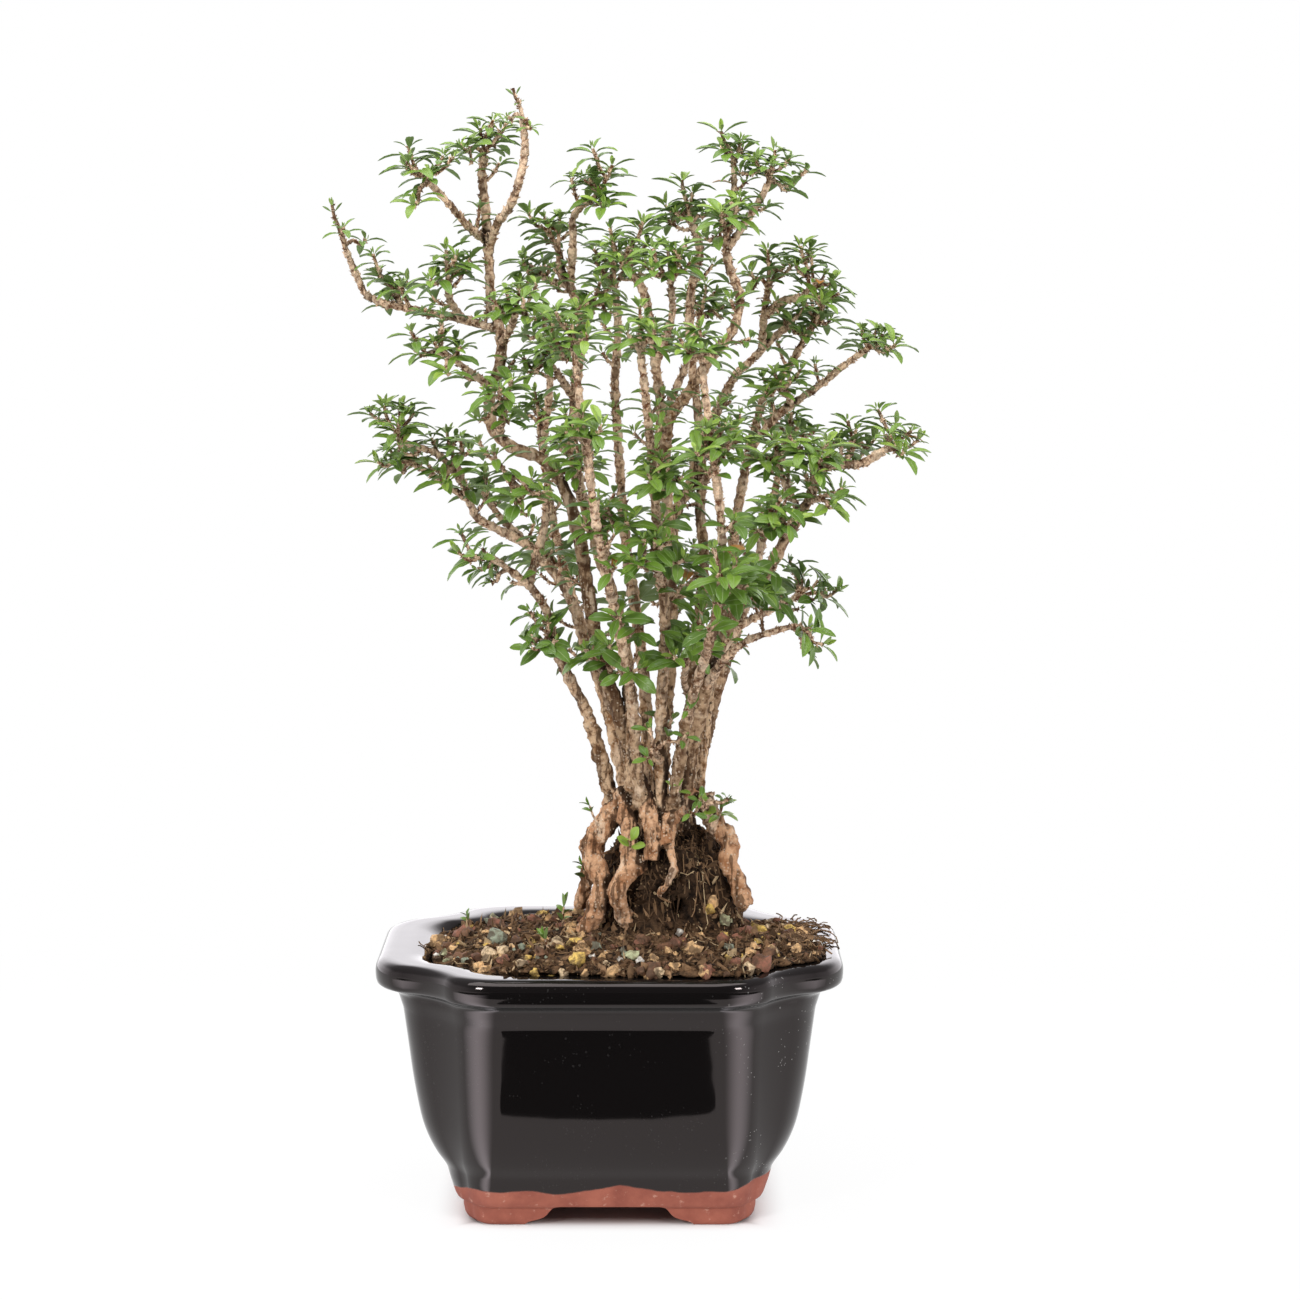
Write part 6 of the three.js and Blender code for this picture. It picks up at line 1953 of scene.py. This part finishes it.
# %% Stones with places of their own: drawn point, size in mm, tone
PLACED_STONES = [
    (491, 925, 4.2, SLATE), (497, 942, 6.6, SLATE), (596, 951, 5.4, SLATE), (631, 958, 4.6, GREENISH),
    (576, 964, 6.0, OCHRE), (552, 977, 4.0, OCHRE), (618, 977, 4.4, OCHRE), (690, 952, 5.0, TAN),
    (757, 945, 4.2, OCHRE), (751, 956, 4.6, TAN), (704, 972, 4.4, TAN), (654, 961, 3.8, TAN),
    (700, 937, 3.6, TAN), (543, 941, 3.8, TAN), (480, 969, 3.6, TAN), (622, 940, 3.4, TAN),
    (711, 902, 4.8, TAN), (708, 910, 3.4, OCHRE), (571, 933, 3.4, TAN), (523, 966, 4.0, PALE),
    (563, 972, 3.2, PALE), (657, 973, 4.2, PALE), (725, 922, 4.6, GREENISH), (680, 933, 2.6, WHITISH),
    (461, 937, 5.8, BRICK), (477, 960, 4.0, BRICK), (502, 962, 4.4, BRICK), (724, 941, 4.0, BRICK),
    (640, 945, 3.6, BRICK), (542, 956, 5.0, BROWN), (512, 950, 3.4, TAN), (534, 972, 3.0, OCHRE),
    (590, 977, 3.2, TAN), (606, 966, 3.0, PALE), (668, 948, 3.0, BROWN), (675, 968, 3.6, TAN),
    (728, 962, 3.2, OCHRE), (772, 950, 3.4, BRICK), (560, 950, 3.4, OCHRE), (641, 972, 3.0, BROWN),
]
OUT_OF_SOIL = 0.2  # how far a stone's middle stands out, as a share of its size
rng = random.Random(52)
placed = Plan()
for across, down, size, tone in PLACED_STONES:
    place, normal = seen_on(across, down, [soil_tree])
    if place:
        flat_way = turned_about(normal, normal.orthogonal(), rng.uniform(0, TAU))
        placed.shape(place + normal * size * OUT_OF_SOIL, flat_way, normal, size,
                     rng.randrange(len(STRETCHES)), tone)
    else:
        print("no soil in view at", across, down)
finish_piece(placed.piece("stones", stone_forms, stone_finish))

# %% The strewing tree
HIGHEST_FORM = 60  # numbers past the last form start again at the first
strewn, given, out = new_growth(
    "strew", [("Forms", "Collection"), ("Finish", "Material"), ("Per Square Metre", "Float"),
              ("Smallest", "Float"), ("Largest", "Float"), ("Seed", "Int")])
spots = node(strewn, "GeometryNodeDistributePointsOnFaces", Mesh=given["Geometry"],
             Selection=named(strewn, "open_soil", "BOOLEAN"), Density=given["Per Square Metre"],
             Seed=given["Seed"])
chance_turn = node(strewn, "FunctionNodeRandomValue", {"data_type": "FLOAT_VECTOR"}, Seed=given["Seed"])
chance_turn.inputs["Max"].default_value = (TAU, TAU, TAU)
chance_form = node(strewn, "FunctionNodeRandomValue", {"data_type": "INT"}, Seed=given["Seed"])
chance_form.inputs[5].default_value = HIGHEST_FORM


def chance(low, high, shift):
    """A random number for each point, between two bounds."""
    seed = node(strewn, "FunctionNodeIntegerMath", Value=given["Seed"])
    seed.inputs[1].default_value = shift
    made = node(strewn, "FunctionNodeRandomValue", {"data_type": "FLOAT"}, Seed=seed.outputs[0])
    put(strewn, made.inputs[2], low)
    put(strewn, made.inputs[3], high)
    return made.outputs[1]


strewn_shapes = node(strewn, "GeometryNodeInstanceOnPoints", Points=spots.outputs[0],
                     Instance=forms_of(strewn, given["Forms"]), Pick_Instance=True,
                     Instance_Index=chance_form.outputs[2], Rotation=chance_turn.outputs[0],
                     Scale=chance(given["Smallest"], given["Largest"], 1))
shaded = node(strewn, "GeometryNodeStoreNamedAttribute", {"data_type": "FLOAT", "domain": "INSTANCE"},
              Geometry=strewn_shapes.outputs[0], Name="shade")
put(strewn, shaded.inputs["Value"], chance(0.0, 1.0, 2))
put(strewn, out["Geometry"], realized(strewn, shaded.outputs[0], given["Finish"]))
print("nodes of the strewing tree:", len(strewn.nodes))

# %% Finish of the peat chips
chip_finish, tree, shader = new_material("peat_chip", Roughness=0.8, Specular_IOR_Level=0.2)
chip_shade = kept_number(tree, "shade")
chip_tone = mix_colours(tree, chip_shade, (0.050, 0.026, 0.012, 1), (0.42, 0.25, 0.13, 1))
chip_tone = layered(tree, chip_tone, [
    (calculate(tree, "GREATER_THAN", chip_shade, 0.86), 1.0, (0.64, 0.47, 0.27)),
    (patches(tree, 900.0, 0.5, 0.15), 0.5, (0.03, 0.017, 0.01)),
])
put(tree, shader.inputs["Base Color"], chip_tone)

# %% Strewn crumbs: name, forms, finish, count per square metre, smallest and largest in mm, seed, top
STREWN = [
    ("crumbs", crumb_forms, soil_finish, 122000, 0.9, 3.2, 4, 125),
    ("chips", chip_forms, chip_finish, 72000, 2.5, 7.5, 5, 125),
    ("grit", stone_forms, stone_finish, 28000, 1.2, 3.2, 6, 90),
    ("gravel", stone_forms, stone_finish, 10500, 3.2, 6.4, 8, 89),
]
OPEN_ABOVE, STEEP_ABOVE, LEVEL_ENOUGH = 81, 87, 0.25  # steep soil takes crumbs only high on the heap


def open_soil(highest):
    """Whether each point of the soil is open to the air, up to a height in mm."""
    flags = []
    for vertex, normal in zip(ground.data.vertices, ground.data.vertex_normals):
        height = from_frame(vertex.co).z
        flags.append(highest > height > OPEN_ABOVE
                     and (normal.vector.z > LEVEL_ENOUGH or height > STEEP_ABOVE))
    return flags


for name, forms, finish, density, smallest, largest, seed, highest in STREWN:
    piece = new_object(name, ground.data.copy())
    piece.data.materials.clear()
    keep(piece.data, "open_soil", open_soil(highest), "BOOLEAN")
    grow(piece, strewn, Forms=forms, Finish=finish, Per_Square_Metre=float(density),
         Smallest=smallest * MM, Largest=largest * MM, Seed=seed)
    face_outwards(piece, 50)
    finish_piece(piece)

# %% [markdown]
# ## Fibres and rootlets
# Peat is full of fine brown fibres. They lie all over the heap, close together on the mound, and a
# tangle of them hangs over the rim at the right. Each fibre walks over whatever lies below it, soil
# or rim, and turns a little at every step.

# %% Fibres
FIBRE_STEP = 1.5
FIBRES_FROM, FIBRES_DOWN_TO = 123, 78  # heights between which fibres find ground
ALL_OVER, OVER_RIM, ON_MOUND = 420, 110, 260  # how many


def fibre(x, y, length, heading, wander, lift):
    """A line of places over the ground from a start, or nothing where there is no ground."""
    line = []
    for _ in range(max(3, round(length / FIBRE_STEP))):
        above = in_frame(Vector((x, y, FIBRES_FROM)))
        hits = [surface.ray_cast(above, -UP) for surface in (soil_tree, pot_tree)]
        tops = [from_frame(hit[0]).z for hit in hits if hit[0]]
        if not tops or max(tops) < FIBRES_DOWN_TO:
            break
        line.append(Vector((x, y, max(tops) + lift * rng.uniform(0.3, 1.4))))
        heading += rng.gauss(0, wander)
        x += FIBRE_STEP * math.cos(heading)
        y += FIBRE_STEP * math.sin(heading)
    return line


def lay_fibre(line, thinnest, thickest, shade):
    """Lays a fibre along a line, unless it is too short. shade turns a chance number into one."""
    if len(line) > 2:
        thick = rng.uniform(thinnest, thickest)
        fibres.add(*skin(tube_rings(line, lambda *_: thick, 4)), shade=shade(rng.random()))


rng = random.Random(77)
fibres = Gathered()
for _ in range(ALL_OVER):
    turn, share = rng.uniform(0, TAU), math.sqrt(rng.uniform(0.02, 0.95)) * rng.choice((1, 1, 0.6))
    line = fibre(58 * share * math.cos(turn), 46 * share * math.sin(turn), rng.uniform(5, 17),
                 rng.uniform(0, TAU), 0.42, 0.5)
    lay_fibre(line, 0.10, 0.24, lambda n: n ** 1.3)
for _ in range(OVER_RIM):
    line = fibre(rng.uniform(50, 64), rng.uniform(-16, 26), rng.uniform(8, 22),
                 rng.gauss(0.3, 1.2), 0.5, 1.1)
    lay_fibre(line, 0.12, 0.30, lambda n: 0.2 + 0.6 * n)
for _ in range(ON_MOUND):
    turn, away = rng.uniform(0, TAU), rng.uniform(4, 24)
    line = fibre(CORE_MIDDLE.x + away * math.cos(turn), CORE_MIDDLE.y + away * math.sin(turn),
                 rng.uniform(4, 12), turn + rng.gauss(0, 0.9), 0.5, 0.5)
    lay_fibre(line, 0.12, 0.32, lambda n: 0.05 + 0.5 * n)
fibre_piece = fibres.piece("fibres")
face_outwards(fibre_piece, 60)
finish_piece(fibre_piece, chip_finish)

# %% [markdown]
# ## Sprouts
# Seedlings and root suckers stand on the mound: bright young leaves in small rosettes. They use the
# leaf forms again, at their own sizes.

# %% Sprouts: drawn foot, height in mm, leaf length in mm, whorls, lean across and back, shade
SPROUTS = [
    (562, 930, 6.5, 7.0, 3, 0.1, 0.0, 0.78), (548, 948, 3.0, 6.5, 2, -0.4, 0.0, 0.7),
    (590, 885, 6.0, 6.0, 3, -0.5, 0.0, 0.7), (597, 822, 5.0, 5.5, 2, -0.6, 0.0, 0.6),
    (630, 850, 4.0, 7.5, 2, 0.1, -1.1, 0.98), (702, 812, 4.0, 7.5, 2, -0.1, -1.5, 0.98),
    (716, 822, 5.0, 7.5, 3, 0.5, -0.5, 0.8), (678, 795, 3.0, 5.5, 2, 0.0, -0.8, 0.8),
    (470, 930, 4.0, 5.0, 2, -0.3, 0.0, 0.5),
]
SPROUT_RADIUS = 0.4
NARROWEST, WIDER = 28, 22  # degrees the first pair opens, and more for each next one
rng = random.Random(31)
sprouts = Plan()
for across, down, tall, leaf, whorls, lean, back, tone in SPROUTS:
    foot, normal = seen_on(across, down, [soil_tree, wood_tree])
    if not foot:
        print("no ground in view at", across, down)
        continue
    axis = Vector((lean, back, 1)).normalized()
    top = foot + (axis + UP * 0.3) * tall * 0.9
    line = smooth_line([foot - axis, foot + axis * tall * 0.5, top], 1.0)
    sprouts.twig(line, [SPROUT_RADIUS] * len(line))
    across_axis = axis.orthogonal().normalized()
    for level in range(whorls):
        place = line[round((len(line) - 1) * (1 - level / whorls * 0.7))]
        wide = math.radians(NARROWEST + WIDER * level)
        for half_turn in (0, math.pi):
            swung = half_turn + level * math.pi / 2 + rng.uniform(-0.3, 0.3)
            outward = turned_about(axis, across_axis, swung)
            aim = axis * math.cos(wide) + outward * math.sin(wide)
            form = ROUND if tone > 0.9 else rng.choice((YOUNG, FOLDED, ARCHED))
            sprouts.shape(place, aim, axis * math.sin(wide) - outward * math.cos(wide) + UP * 0.3,
                          leaf * rng.uniform(0.75, 1.1) * (0.75 if level == 0 else 1), form,
                          min(1, tone + rng.uniform(-0.08, 0.08)))
finish_piece(sprouts.piece("sprouts", leaf_forms, foliage, bark))

# %% Remove the forms
for collection in (leaf_forms, scar_forms, stone_forms, crumb_forms, chip_forms):
    for form in list(collection.objects):
        bpy.data.objects.remove(form)
    bpy.data.collections.remove(collection)
